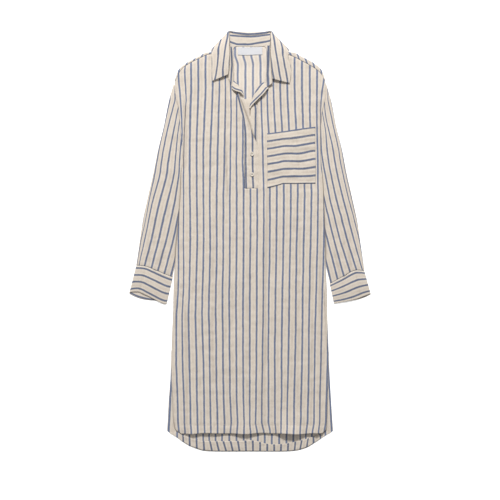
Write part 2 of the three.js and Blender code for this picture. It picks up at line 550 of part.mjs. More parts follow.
// A turned-out end: hidden layer, roll and turned face, as one folded wall.
function lapelGrid(table, dive) {
  return table.map((s) => {
    const dx = s.freeX - s.rollX, dy = s.freeY - s.rollY, l = Math.hypot(dx, dy);
    const at = (d, z) => V(s.rollX + (dx * d) / l, s.rollY + (dy * d) / l, z);
    const under = s.rollZ - 1.9;
    return [at(Math.min(dive, l * 0.8), under), at(1.1, under), at(0, under + 0.95), at(1.1, s.rollZ), at(l * 0.55, lerp(s.rollZ, s.freeZ, 0.6)), at(l, s.freeZ)];
  });
}
const bandOver = joined(wall(bandGrid(BAND_OVER, overZ)), wall(lapelGrid(LAPEL_OVER, 6), { flat: false }));
const bandUnder = joined(wall(bandGrid(BAND_UNDER, underZ)), wall(lapelGrid(LAPEL_UNDER, 7), { flat: false }));

// ---- pocket, label, buttons ---------------------------------------------------------
function pocketWall() {
  const rows = [], R = 8, C = 8;
  for (let i = 0; i <= R; i++) {
    const row = [];
    for (let j = 0; j <= C; j++) {
      const u = j / C, x = lerp(POCKET.left, POCKET.right, u);
      const top = lerp(POCKET.topLeft, POCKET.topRight, u);
      const foot = u < 0.33 ? lerp(POCKET.footLeft, POCKET.footMid, u / 0.33) : lerp(POCKET.footMid, POCKET.footRight, (u - 0.33) / 0.67);
      const y = lerp(foot, top, i / R);
      row.push(V(x, y, frontMid(x, y) + CLOTH + GAP + 0.25));
    }
    rows.push(row);
  }
  return wall(rows);
}
function labelWall() {
  const rows = [0, 1, 2].map((i) => [0, 1, 2, 3, 4].map((j) => {
    const x = lerp(LABEL.left, LABEL.right, j / 4), y = lerp(LABEL.foot, LABEL.top, i / 2);
    return V(x, y, BACK_MID + Math.max(raise(x, LABEL.top), raise(x, y)) + CLOTH + GAP);
  }));
  return wall(rows);
}
function button(y) {
  const b = BUTTON, profile = [
    [0, 0], [b.radius - 0.6, 0], [b.radius, 0.7], [b.radius, b.height - 0.7], [b.radius - 0.8, b.height],
    [b.radius - 1.8, b.height - 0.5], [0, b.height - 0.6],
  ].map(([r, z]) => new THREE.Vector2(r, z));
  const g = new THREE.LatheGeometry(profile, 20).rotateX(Math.PI / 2);
  const z = overZ(BUTTON.x, y) + CLOTH / 2 + GAP + 0.2;
  g.translate(BUTTON.x, y, z);
  return g;
}

// ---- scene graph --------------------------------------------------------------------
const CLOTH_LOOK = { color: 0xdccfbc, roughness: 0.9, metalness: 0 };
const LABEL_LOOK = { color: 0xecebe8, roughness: 0.85, metalness: 0 };
const BUTTON_LOOK = { color: 0xe6ddce, roughness: 0.4, metalness: 0 };
const dress = new THREE.Group();
function add(name, geometry, look = CLOTH_LOOK) {
  const mesh = new THREE.Mesh(geometry, new THREE.MeshStandardMaterial(look));
  mesh.name = name;
  dress.add(mesh);
}
add("back", back);
add("back_hem_facing", facing);
add("front", front);
add("placket_over", bandOver);
add("placket_under", bandUnder);
add("collar_stand", stand);
add("collar_leaf", leaf);
add("neck_label", labelWall(), LABEL_LOOK);
add("sleeve_right", sleeveRight);
add("sleeve_left", sleeveLeft);
add("cuff_right", cuffRight);
add("cuff_left", cuffLeft);
add("chest_pocket", pocketWall());
add("button_upper", button(BUTTON.upperY), BUTTON_LOOK);
add("button_lower", button(BUTTON.lowerY), BUTTON_LOOK);

export default dress;
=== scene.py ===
# Popover shirt dress laid flat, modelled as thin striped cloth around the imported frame.
import bpy
import math
import numpy as np
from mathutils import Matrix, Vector

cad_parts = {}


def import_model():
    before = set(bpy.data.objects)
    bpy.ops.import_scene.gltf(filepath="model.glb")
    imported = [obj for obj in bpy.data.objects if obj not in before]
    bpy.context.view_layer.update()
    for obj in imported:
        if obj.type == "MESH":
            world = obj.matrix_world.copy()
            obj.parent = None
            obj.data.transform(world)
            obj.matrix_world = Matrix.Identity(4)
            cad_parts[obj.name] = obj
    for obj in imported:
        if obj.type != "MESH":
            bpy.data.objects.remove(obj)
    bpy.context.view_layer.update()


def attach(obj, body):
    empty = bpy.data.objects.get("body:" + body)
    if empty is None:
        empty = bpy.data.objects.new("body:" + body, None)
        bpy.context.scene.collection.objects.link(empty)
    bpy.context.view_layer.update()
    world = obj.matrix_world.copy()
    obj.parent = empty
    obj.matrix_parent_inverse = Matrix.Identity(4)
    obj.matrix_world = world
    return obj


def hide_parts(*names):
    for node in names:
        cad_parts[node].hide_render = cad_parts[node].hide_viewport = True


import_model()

# ---- units -----------------------------------------------------------------
# Tables are in sheet units of 2.8 mm: x to the right, 250 in the middle; y down
# the dress, 241 in the middle. Heights are in millimetres above the surface.
UNIT = 0.0028
PITCH = 7.7  # one repeat of the stripe in flat cloth, in sheet units
THIN = 0.5  # cloth thickness, mm


def world(x, y, z):
    x, y, z = np.broadcast_arrays(np.asarray(x, float), np.asarray(y, float), np.asarray(z, float))
    return np.stack([(x - 250.0) * UNIT, (241.0 - y) * UNIT, z * 0.001], -1)


def table(columns, rows):
    a = np.array(rows, float)
    return {c: a[:, i] for i, c in enumerate(columns.split())}


# ---- tables: a row for each section, station or fold ---------------------------
SIDES = table("y left right", [
    (433.4, 180.6, 321.8), (429.5, 175.2, 326.3), (418, 173.1, 327.2), (400, 172.5, 327.6),
    (380, 171.6, 328.2), (358, 171.4, 328.6), (336, 172.0, 328.0), (314, 173.0, 327.2),
    (296, 173.4, 327.0), (278, 174.0, 326.3), (262, 174.9, 325.7), (246, 176.0, 325.5),
    (230, 177.5, 324.9), (216, 178.7, 324.4), (202, 179.7, 323.9), (188.5, 180.5, 323.4),
    (175, 180.9, 322.4)])
ARM_LEFT = table("arm_x arm_y neck_x neck_y", [
    (183.0, 162, 244.5, 160), (182.0, 150, 244.5, 147), (180.5, 135, 244.5, 133),
    (179.5, 120, 244.3, 121), (178.4, 108, 242.0, 110), (175.9, 99, 238.5, 99.5),
    (174.9, 91, 234.6, 90.8), (174.7, 84, 233.3, 74)])
ARM_RIGHT = table("arm_x arm_y neck_x neck_y", [
    (320.9, 159, 257.1, 160), (320.6, 146, 257.1, 147), (320.8, 130, 257.1, 133),
    (322.0, 114, 257.1, 121), (324.0, 105, 257.3, 108), (325.8, 99, 258.7, 98),
    (326.4, 90, 262.8, 89.5), (325.6, 83, 266.4, 74)])
SHOULDER_LEFT = table("seam_x seam_y fold_x fold_y", [
    (175.7, 81.2, 175.0, 79.6), (178.2, 75.0, 176.6, 74.0), (182.6, 68.2, 180.2, 67.8),
    (190.4, 62.9, 189.8, 60.9), (199.0, 58.6, 198.6, 56.6), (206.7, 55.0, 205.9, 52.6),
    (216.0, 53.2, 216.0, 52.2), (225.0, 50.2, 225.0, 48.9), (233.3, 48.6, 233.6, 47.2)])
SHOULDER_RIGHT = table("seam_x seam_y fold_x fold_y", [
    (324.6, 80.4, 325.0, 79.6), (321.5, 74.6, 323.4, 74.0), (317.0, 69.9, 319.8, 67.8),
    (308.4, 64.5, 310.3, 60.9), (300.0, 60.0, 301.4, 56.6), (292.6, 56.3, 294.1, 52.6),
    (284.0, 53.4, 284.0, 52.2), (275.0, 50.2, 275.0, 48.9), (266.4, 48.6, 266.4, 47.2)])
HEM = table("x y", [
    (167.0, 430.6), (170.5, 433.6), (177.3, 437.6), (183.5, 442.2), (189.6, 446.0),
    (201.8, 450.4), (215.0, 451.5), (250.0, 451.5), (285.0, 451.5), (297.5, 450.4),
    (307.5, 447.2), (316.5, 441.6), (325.0, 436.0), (330.5, 432.8), (333.2, 430.6)])
BACK_SIDES = table("y left right", [
    (430.6, 167.0, 333.2), (418, 167.8, 332.2), (400, 168.6, 331.0), (380, 170.4, 329.8),
    (358, 171.2, 328.8)])
# How far the cloth of the front has crept sideways, in stripes, at each level y and
# at the x of CREEP_X: it comes from the folds' take-up and the neck's pull.
CREEP_X = np.array([178.5, 184, 190, 197, 204, 211, 218, 225, 231, 237, 243.5, 250, 257, 263, 268.5, 275, 282, 289, 296, 303, 309.5, 316, 322], float)
CREEP = [
    (88, (-.66, -.56, -.34, -.37, -.45, -.54, -.56, -.42, -.12, -.06, 0, .16, .34, .41, .48, .64, .62, .57, .50, .41, .29, .25, .42)),
    (112, (-.46, -.40, -.27, -.30, -.33, -.39, -.41, -.40, -.26, -.01, .08, .17, .27, .36, .45, .47, .51, .46, .43, .34, .30, .29, .40)),
    (150, (-.34, -.24, -.18, -.16, -.15, -.20, -.25, -.25, -.11, -.02, .10, .08, .14, .18, .18, .17, .16, .16, .15, .15, .14, .13, .30)),
    (163, (-.40, -.23, -.17, -.17, -.15, -.16, -.21, -.20, -.08, .05, .14, .06, .09, .12, .15, .15, .14, .13, .12, .12, .11, .10, .26)),
    (180, (-.48, -.21, -.16, -.17, -.15, -.11, -.15, -.14, -.04, .00, .00, .00, .01, .03, .11, .13, .11, .09, .07, .07, .06, .05, .20)),
    (195, (-.55, -.20, -.16, -.18, -.16, -.07, -.10, -.09, -.01, -.04, -.04, -.04, -.04, -.04, .08, .11, .09, .05, .04, .03, .02, .01, .16)),
    (240, (-.52, -.18, -.23, -.28, -.20, -.15, -.10, -.05, 0, -.01, -.04, -.02, -.01, .02, .12, .14, .13, .09, .19, .17, .16, .14, .20)),
    (268, (-.53, -.24, -.16, -.17, -.13, -.07, -.06, -.03, .01, .01, -.03, .02, .02, .07, .17, .22, .20, .19, .23, .22, .28, .27, .30)),
    (290, (-.49, -.22, -.08, -.07, -.02, 0, .03, .04, .06, .05, .01, .06, .04, .07, .29, .29, .29, .28, .33, .33, .30, .32, .42)),
    (315, (-.20, .04, .03, 0, .05, .05, .04, .06, .08, .06, .04, .07, .05, .10, .31, .33, .33, .31, .33, .34, .37, .44, .52)),
    (365, (-.20, -.11, -.10, -.15, -.18, -.06, -.02, -.01, .02, .02, .04, .06, .08, .21, .33, .38, .39, .43, .44, .42, .43, .59, .65)),
    (395, (-.35, -.28, -.23, -.21, -.26, -.12, -.12, -.11, -.04, -.01, 0, .07, .14, .33, .33, .39, .40, .58, .55, .52, .50, .68, .84)),
    (423, (-.46, -.39, -.26, -.27, -.30, -.22, -.25, -.26, -.26, -.18, -.16, .07, .25, .32, .32, .38, .51, .61, .57, .60, .58, .70, .94)),
    (431, (-.62, -.50, -.39, -.35, -.35, -.26, -.22, -.21, -.12, -.10, -.09, -.04, -.01, -.01, .06, .19, .57, .67, .65, .74, .83, .93, 1.16))]
# The stripes beside the armholes: their x down the armhole, and the half width of
# the second, which runs into a fold.
ARM_STRIPES_LEFT = table("y first second third half", [
    (70, 178.1, 184.6, 190.8, .65), (77, 178.5, 185.0, 190.7, .65), (90, 179.6, 185.9, 190.4, .60), (100, 180.6, 186.3, 190.2, .45),
    (110, 181.2, 185.6, 190.0, .22), (120, 181.9, 184.9, 189.9, .20), (130, 182.3, 184.3, 189.8, .20), (140, 182.1, 183.9, 189.7, .22),
    (150, 181.0, 183.8, 189.6, .25), (160, 180.0, 183.7, 189.5, .35), (180, 178.0, 183.5, 189.4, .60)])
ARM_STRIPES_RIGHT = table("y first second half", [
    (70, 317.1, 324.4, .65), (79, 317.1, 323.9, .65), (92, 317.1, 321.9, .65), (102, 317.0, 320.9, .50), (110, 317.0, 320.5, .25),
    (125, 317.0, 320.6, .20), (150, 317.7, 320.8, .22), (180, 318.3, 321.6, .60)])
# Folds of the front: x at their top and foot, height (a trough is negative),
# width, and from where to where they run.
FOLDS = [
    # top_x, foot_x, rise, width, top, foot
    (185.2, 184.0, -1.8, 0.9, 94, 182), (189.6, 189.0, 0.5, 3.0, 90, 200),
    (320.9, 320.7, -1.6, 0.9, 92, 160), (316.4, 316.0, 0.5, 3.0, 92, 190),
    (267.4, 262.2, -1.5, 1.6, 186, 426), (262.6, 257.0, 1.0, 3.2, 196, 428),
    (226.6, 226.0, -1.0, 2.0, 138, 214), (231.0, 231.0, 0.5, 3.0, 150, 260),
    (206.0, 203.0, 0.9, 4.5, 190, 428), (213.5, 212.0, -0.7, 2.6, 230, 400),
    (219.5, 221.0, 0.6, 3.5, 220, 430), (240.5, 243.0, 0.7, 3.8, 210, 432),
    (248.6, 247.6, -0.6, 2.4, 240, 420), (283.0, 282.0, 0.8, 4.0, 196, 430),
    (276.0, 275.5, -0.5, 2.4, 200, 380), (296.5, 299.5, -0.9, 3.0, 196, 424),
    (304.0, 306.0, 0.8, 3.4, 210, 430), (311.0, 312.0, -0.7, 2.2, 250, 420),
    (321.2, 320.0, -1.1, 1.9, 205, 432), (316.6, 316.5, 0.7, 2.2, 230, 430),
    (186.4, 186.6, -1.4, 2.2, 300, 432), (192.0, 193.5, 0.9, 3.2, 290, 430),
    (196.5, 197.5, -0.6, 1.8, 60, 150), (208.0, 206.0, 0.5, 3.0, 66, 170),
    (281.5, 283.0, -0.5, 2.2, 70, 124), (290.0, 291.0, 0.5, 3.0, 66, 124),
    (236.8, 240.2, -0.6, 1.5, 96, 150)]
# Painted shade along sharp creases and the side pocket openings, as brown lines: how dark, half width, then (y, x) down
# the line.
CREASE_SHADES = [
    (.62, .42, ((103, 186.1), (110, 185.5), (120, 184.9), (130, 184.3), (150, 183.8), (172, 183.4))),
    (.55, .42, ((104, 320.8), (112, 320.5), (125, 320.6), (150, 320.8), (164, 321.8))),
    (.34, .45, ((88, 225.9), (110, 225.6), (125, 225.5), (150, 225.6), (175, 227.0), (202, 228.6))),
    (.45, .40, ((288, 324.5), (297, 324.2), (318, 325.3), (336, 326.0), (352, 327.0))),
    (.38, .40, ((279, 177.0), (289, 176.7), (302, 175.7), (328, 175.0)))]
# Where the front's free hem lifts off the back: middle, height, width.
HEM_LIFTS = [(184, 1.6, 3), (193, 2.4, 4), (210, 3.4, 8), (226, 0.6, 4), (247, 5.6, 7.5), (268, 1.2, 4), (284, 6.0, 5), (294, 11.0, 7), (317, 7.5, 5)]
# Sleeves: outer edge, and where the stripes run at levels down the sleeve.
SLEEVE_OUTER = table("y half", [
    (84, 76.4), (102, 81.4), (126, 86.0), (150, 92.0), (173, 96.6), (196, 101.8), (219, 106.8),
    (242, 110.4), (265.2, 113.9)])
STRIPES_RIGHT_SLEEVE = [  # photo left: level, then x of stripes -2 ... 4
    (100, (169.9, 175.2, 179.8, 183.0, 186.0, 190, 196)),
    (130, (163.3, 167.4, 174.1, 178.4, 182.2, 188, 195)),
    (160, (157.4, 161.8, 168.7, 175.6, 179.5, 186, 193)),
    (175, (154.6, 159.7, 166.7, 174.1, 178.7, 185, 192)),
    (200, (149.4, 152.9, 160.2, 168.2, 175.1, 181.6, 188.5)),
    (219, (145.9, 148.7, 155.8, 163.5, 171.2, 177.5, 184.3)),
    (240, (141.2, 144.5, 151.4, 158.7, 166.4, 173.2, 180.0)),
    (265, (137.0, 139.0, 144.8, 152.5, 159.7, 166.8, 173.8)),
    (282, (133.4, 135.4, 139.8, 148.4, 155.1, 162.4, 169.4))]
STRIPES_LEFT_SLEEVE = [  # photo right: level, then x of stripes -2 ... 4
    (100, (330.9, 327.8, 324.4, 320.6, 318.0, 314, 310)),
    (115, (334.0, 331.1, 325.2, 322.9, 319.0, 315, 311)),
    (130, (337.3, 334.3, 328.4, 325.5, 320.4, 315, 310)),
    (148, (341.3, 338.3, 332.6, 326.9, 321.1, 316, 311)),
    (160, (343.4, 340.2, 334.6, 328.3, 322.6, 317, 312)),
    (175, (346.1, 343.4, 337.4, 331.0, 325.4, 319.5, 314)),
    (200, (351.7, 348.9, 343.3, 336.3, 329.9, 324.4, 318.5)),
    (215, (355.4, 353.4, 347.5, 340.6, 333.9, 328.0, 321.6)),
    (240, (362.4, 359.4, 353.9, 347.2, 339.9, 334.0, 327.4)),
    (265, (369.0, 364.0, 361.0, 354.8, 347.7, 340.7, 333.8)),
    (286, (376.6, 369.0, 367.2, 361.2, 354.3, 346.3, 339.1))]
CUFFS = {
    "cuff_right": dict(top=((136.3, 265.6), (141.0, 265.9), (146.0, 266.6), (153.0, 269.2), (163.0, 273.4), (172.7, 277.4)),
                       foot=((129.4, 292.5), (133.5, 291.9), (139.0, 292.1), (146.0, 295.2), (154.5, 299.4), (163.0, 303.5), (166.6, 304.0)),
                       under=((129.3, 293.7), (135.5, 296.9), (142.5, 299.1), (149.6, 300.2), (156.5, 300.9), (163.6, 303.9), (166.5, 303.9))),
    "cuff_left": dict(top=((364.4, 271.2), (359.5, 270.6), (353.8, 271.0), (342.0, 277.2), (329.8, 283.9)),
                      foot=((370.8, 293.6), (365.5, 295.6), (359.0, 298.2), (352.0, 300.3), (343.0, 302.1), (334.0, 303.6)),
                      under=((370.6, 294.3), (366.0, 296.8), (360.0, 298.9), (352.0, 300.6), (343.0, 302.1), (334.0, 303.5)))}
# Collar stand: seam and roll points from the wearer's right end to the middle back.
STAND = table("seam_x seam_y seam_z roll_x roll_y roll_z", [
    (232.2, 88.6, 7.0, 228.7, 77.6, 9.8), (233.6, 80.4, 5.2, 229.8, 67.0, 12.2),
    (233.5, 70.0, 4.8, 230.0, 57.0, 13.0), (233.1, 58.0, 4.6, 230.0, 46.0, 10.2),
    (233.1, 50.6, 4.2, 230.0, 37.5, 5.6), (235.2, 46.9, 3.2, 230.8, 32.6, 3.0),
    (240.5, 46.8, 2.5, 238.6, 33.4, 2.6), (250.0, 46.9, 2.3, 250.0, 33.8, 2.5)])
STAND_LEFT_END = table("seam_x seam_y seam_z roll_x roll_y roll_z", [
    (265.4, 88.9, 8.2, 272.3, 83.4, 10.5), (265.6, 81.4, 6.4, 271.0, 70.6, 12.0)])
# Collar leaf: roll edge, outer edge, how it swells between, and where two stripes cross.
LEAF = table("roll_x roll_y roll_z out_x out_y out_z swell s1 s2", [
    (228.2, 75.0, 10.8, 212.6, 81.2, 8.2, 0.6, .33, .85), (229.0, 67.0, 13.0, 212.2, 75.4, 6.4, 1.0, .36, .75),
    (229.4, 57.0, 13.8, 212.0, 67.5, 6.3, 1.4, .32, .68), (229.3, 46.0, 11.6, 211.8, 60.0, 6.0, 1.7, .23, .63),
    (229.3, 38.0, 7.2, 211.6, 54.0, 5.4, 2.2, .13, .60), (229.2, 32.6, 3.4, 211.3, 51.0, 3.2, 0.5, .07, .49),
    (228.8, 30.8, 1.9, 210.8, 49.6, 1.7, 0.1, .05, .45)])
LEAF_LEFT_END = table("roll_x roll_y roll_z out_x out_y out_z swell s1 s2", [
    (272.4, 79.4, 10.8, 289.4, 83.4, 8.0, 0.6, .50, .90), (271.6, 70.0, 13.0, 290.7, 76.6, 6.4, 1.0, .40, .78),
    (271.0, 58.0, 13.8, 290.9, 67.5, 6.3, 1.4, .32, .67), (271.0, 46.0, 11.6, 288.4, 60.0, 6.0, 1.7, .25, .68),
    (270.9, 38.0, 7.2, 288.3, 54.0, 5.4, 2.2, .19, .66), (271.0, 32.6, 3.4, 288.5, 51.0, 3.2, 0.5, .12, .58)])
# Turned-out ends of the front bands: roll line and free edge.
LAPEL_UNDER = table("roll_x roll_y roll_z free_x free_y free_z", [
    (263.6, 82.4, 6.0, 268.8, 88.4, 7.4), (259.8, 85.0, 7.6, 267.0, 89.9, 9.6), (255.8, 91.0, 8.0, 263.2, 94.6, 12.0),
    (252.8, 98.0, 7.2, 257.4, 100.2, 10.6), (250.3, 104.4, 6.0, 252.4, 105.2, 8.2), (249.3, 108.0, 5.2, 249.9, 108.9, 5.8)])
LAPEL_OVER = table("roll_x roll_y roll_z free_x free_y free_z", [
    (233.6, 80.6, 6.0, 231.6, 88.6, 6.6), (236.8, 84.0, 7.4, 234.2, 90.7, 9.4), (239.6, 87.4, 7.6, 237.6, 91.9, 10.4),
    (242.0, 90.6, 7.0, 240.7, 92.9, 9.2), (243.6, 94.2, 6.0, 243.2, 95.6, 6.8)])
BAND_OVER = table("y left right", [
    (188.6, 245.2, 258.1), (182, 245.0, 258.2), (175, 244.8, 258.2), (167, 244.7, 258.2), (160, 244.6, 258.2),
    (153, 244.6, 258.1), (146, 244.6, 257.6), (140, 244.5, 255.4), (134, 244.3, 252.6), (126, 243.7, 250.4),
    (118, 242.5, 247.4), (110, 240.7, 244.4), (101, 238.7, 241.3), (94, 236.8, 239.2), (92.0, 236.2, 238.7)])
BAND_UNDER = table("y left right", [
    (188.0, 246, 257.0), (175, 246, 257.0), (160, 246, 257.0), (147, 246, 257.0), (133, 246, 257.0),
    (121, 244.0, 257.0), (108, 240.6, 257.0), (99.2, 240.4, 254.5)])

# Stripes of the back at its hem: at the level of the front's hem, at the facing's
# edge and at the foot; and the facing's upper edge.
HEM_STRIPES = table("back edge foot", [
    (161.4, 161.4, 161.4), (168.4, 168.4, 168.6), (177.3, 177.5, 178.0), (182.9, 183.0, 183.3), (189.4, 189.5, 189.8), (196.5, 196.6, 196.9),
    (203.2, 203.6, 204.2), (209.2, 210.0, 211.9), (215.6, 216.8, 218.9), (222.0, 223.2, 226.2), (229.3, 230.6, 232.8),
    (236.5, 237.9, 239.4), (243.6, 245.4, 246.2), (250.8, 252.9, 252.9), (257.9, 260.2, 260.2), (264.8, 267.2, 267.2),
    (271.8, 274.2, 274.2), (279.2, 281.0, 280.7), (286.4, 288.0, 287.8), (293.3, 295.5, 294.8), (300.4, 301.8, 300.0),
    (305.7, 308.2, 306.9), (311.9, 313.0, 313.6), (319.8, 320.2, 320.6), (325.4, 326.0, 326.2), (331.8, 331.8, 331.8), (338.5, 338.5, 338.5)])
HEM_INDEX = np.arange(len(HEM_STRIPES["back"])) - 3.0
FACING_TOP = [(178, 434.0), (184, 435.2), (190, 438.0), (200, 440.8), (215, 441.3), (236, 441.0), (243.6, 440.6), (250.8, 440.1),
              (257.9, 441.2), (264.8, 443.4), (271.8, 444.4), (279.2, 444.2), (286.4, 443.5), (293.3, 442.2), (300.4, 440.5),
              (307, 438.8), (314, 436.2), (322, 433.5)]


# ---- numbers ---------------------------------------------------------------------
def clip01(t):
    return np.clip(t, 0.0, 1.0)


def smooth(t):
    t = clip01(t)
    return t * t * (3 - 2 * t)


def rounded(d, w):
    """0 at the edge, 1 from w inside, like the quarter round of a soft edge."""
    return np.sqrt(np.clip(1 - (1 - clip01(d / w)) ** 2, 0, 1))


def lerp(a, b, t):
    return a + (b - a) * t


def spline(values, r):
    """Catmull-Rom reading of a column at fractional row r."""
    v = np.asarray(values, float)
    n = len(v)
    r = np.clip(np.asarray(r, float), 0, n - 1)
    i = np.minimum(r.astype(int), n - 2)
    f = r - i
    p0, p1, p2, p3 = v[np.maximum(i - 1, 0)], v[i], v[i + 1], v[np.minimum(i + 2, n - 1)]
    p0 = np.where(i == 0, 2 * p1 - p2, p0)
    p3 = np.where(i == n - 2, 2 * p2 - p1, p3)
    return 0.5 * (2 * p1 + (p2 - p0) * f + (2 * p0 - 5 * p1 + 4 * p2 - p3) * f ** 2 + (3 * p1 - p0 - 3 * p2 + p3) * f ** 3)


def read(x, xs, ys):
    xs, ys = np.asarray(xs, float), np.asarray(ys, float)
    o = np.argsort(xs)
    return np.interp(x, xs[o], ys[o])


class Noise:
    """Seeded smooth noise on the sheet, longer along one direction than the other."""

    def __init__(self, seed, long_x, long_y, x0=110, y0=15, w=280, h=450, step=0.5):
        self.x0, self.y0, self.step = x0, y0, step
        nx, ny = int(w / step), int(h / step)
        a = np.random.default_rng(seed).standard_normal((ny, nx))
        fy, fx = np.fft.fftfreq(ny)[:, None], np.fft.rfftfreq(nx)[None, :]
        k = np.exp(-2 * (math.pi ** 2) * ((fx * long_x / step) ** 2 + (fy * long_y / step) ** 2))
        a = np.fft.irfft2(np.fft.rfft2(a) * k, s=(ny, nx))
        self.a = a / a.std()

    def __call__(self, x, y):
        gx = np.clip((np.asarray(x) - self.x0) / self.step, 0, self.a.shape[1] - 1.001)
        gy = np.clip((np.asarray(y) - self.y0) / self.step, 0, self.a.shape[0] - 1.001)
        i, j = gy.astype(int), gx.astype(int)
        u, v = gx - j, gy - i
        a = self.a
        return (a[i, j] * (1 - u) + a[i, j + 1] * u) * (1 - v) + (a[i + 1, j] * (1 - u) + a[i + 1, j + 1] * u) * v


crinkle_long = Noise(11, 1.3, 6.0)  # slack along the warp
crinkle_cross = Noise(12, 5.0, 1.6)  # and across it
crinkle_small = Noise(13, 0.9, 1.1)
rumple = Noise(14, 9.0, 14.0)
sway = Noise(15, 6.0, 12.0)


def crinkle(x, y):
    """Small pucker of the washed cloth, in mm."""
    return 0.26 * crinkle_long(x, y) + 0.20 * crinkle_cross(x, y) + 0.10 * crinkle_small(x, y)


# ---- meshes ----------------------------------------------------------------------
PIECES = {}
SHELLS = {}


def normals_of(P, wrap=False):
    if wrap:
        Q = np.concatenate([P[:, -2:-1], P, P[:, 1:2]], 1)
        du = (Q[:, 2:] - Q[:, :-2])
    else:
        du = np.gradient(P, axis=1)
    dv = np.gradient(P, axis=0)
    n = np.cross(du, dv)
    l = np.linalg.norm(n, axis=-1, keepdims=True)
    return n / np.maximum(l, 1e-12)


def blur(z, k):
    for axis in (0, 1):
        pad = [(0, 0), (0, 0)]
        pad[axis] = (k + 1, k)
        c = np.cumsum(np.pad(z, pad, mode="edge"), axis=axis)
        n = z.shape[axis]
        z = (np.take(c, np.arange(n) + 2 * k + 1, axis) - np.take(c, np.arange(n), axis)) / (2 * k + 1)
    return z


def shell(name, P, UV, material, thick=THIN, live=None, wrap=False, up=True, fold=0.0, painted_light=0.0):
    """A thin closed cloth wall on a grid of middle points, with its fabric
    coordinates, in stripe repeats, as the UV map Cloth, and as the UV map Tone
    the painted shade of folds, creases and hollows and the painted light."""
    z_mm = P[..., 2] * 1000.0
    # Painted shade in hollows: darker where the cloth lies lower than the cloth around it.
    cavity_shade = np.clip((blur(z_mm, 3) - z_mm) * 0.26 - 0.01, 0, 0.16)
    TONE = np.stack(np.broadcast_arrays(clip01(cavity_shade + fold), painted_light + 0 * z_mm), -1).reshape(-1, 2)
    R, C = P.shape[:2]
    n = normals_of(P, wrap)
    if not up:
        n = -n
    if live is None:
        live = np.ones((R - 1, C - 1), bool)
    t = thick * 0.0005
    top, bottom = P + n * t, P - n * t
    grid = np.arange(R * C).reshape(R, C)
    vid = grid.copy()
    if wrap:
        vid[:, -1] = vid[:, 0]
    N = R * C
    I, J = np.nonzero(live)
    quads, corner = [], []

    def put(a, b, c, d, ua, ub, uc, ud):
        quads.append(np.stack([a, b, c, d], -1))
        corner.append(np.stack([ua, ub, uc, ud], -1))

    a, b, c, d = (vid[I, J], vid[I, J + 1], vid[I + 1, J + 1], vid[I + 1, J])
    ua, ub, uc, ud = (grid[I, J], grid[I, J + 1], grid[I + 1, J + 1], grid[I + 1, J])
    put(a, b, c, d, ua, ub, uc, ud)
    put(d + N, c + N, b + N, a + N, ud, uc, ub, ua)
    pad = np.zeros((R + 1, C + 1), bool)
    pad[1:R, 1:C] = live
    # rims: edges with a face on one side only
    for di, dj, pa, pb in ((-1, 0, (0, 1), (0, 0)), (1, 0, (1, 0), (1, 1)), (0, -1, (0, 0), (1, 0)), (0, 1, (1, 1), (0, 1))):
        if wrap and dj:
            continue
        e = live & ~pad[1 + di:R + di, 1 + dj:C + dj]
        i, j = np.nonzero(e)
        if len(i) == 0:
            continue
        A, B = vid[i + pa[0], j + pa[1]], vid[i + pb[0], j + pb[1]]
        ga, gb = grid[i + pa[0], j + pa[1]], grid[i + pb[0], j + pb[1]]
        put(A, B, B + N, A + N, ga, gb, gb, ga)
    F, K = np.concatenate(quads), np.concatenate(corner)
    if not up:
        F, K = F[:, ::-1], K[:, ::-1]
    V = np.concatenate([top.reshape(-1, 3), bottom.reshape(-1, 3)])
    used, inverse = np.unique(F.ravel(), return_inverse=True)
    V, F = V[used], inverse.reshape(F.shape)
    mesh = bpy.data.meshes.new(name)
    mesh.from_pydata(V.tolist(), [], F.tolist())
    layer = mesh.uv_layers.new(name="Cloth")
    layer.data.foreach_set("uv", UV.reshape(-1, 2)[K.ravel()].astype(np.float32).ravel())
    layer = mesh.uv_layers.new(name="Tone")
    layer.data.foreach_set("uv", TONE[K.ravel()].astype(np.float32).ravel())
    mesh.polygons.foreach_set("use_smooth", np.ones(len(F), bool))
    mesh.update()
    o = bpy.data.objects.new(name, mesh)
    bpy.context.scene.collection.objects.link(o)
    mesh.materials.append(material)
    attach(o, "root")
    PIECES[name] = o
    SHELLS[name] = (P, n, live)
    return o


def plain_mesh(name, V, F, material, smooth_faces=True):
    mesh = bpy.data.meshes.new(name)
    mesh.from_pydata([tuple(v) for v in V], [], [tuple(f) for f in F])
    mesh.polygons.foreach_set("use_smooth", np.full(len(mesh.polygons), smooth_faces))
    mesh.materials.append(material)
    mesh.update()
    o = bpy.data.objects.new(name, mesh)
    bpy.context.scene.collection.objects.link(o)
    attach(o, "root")
    PIECES[name] = o
    return o


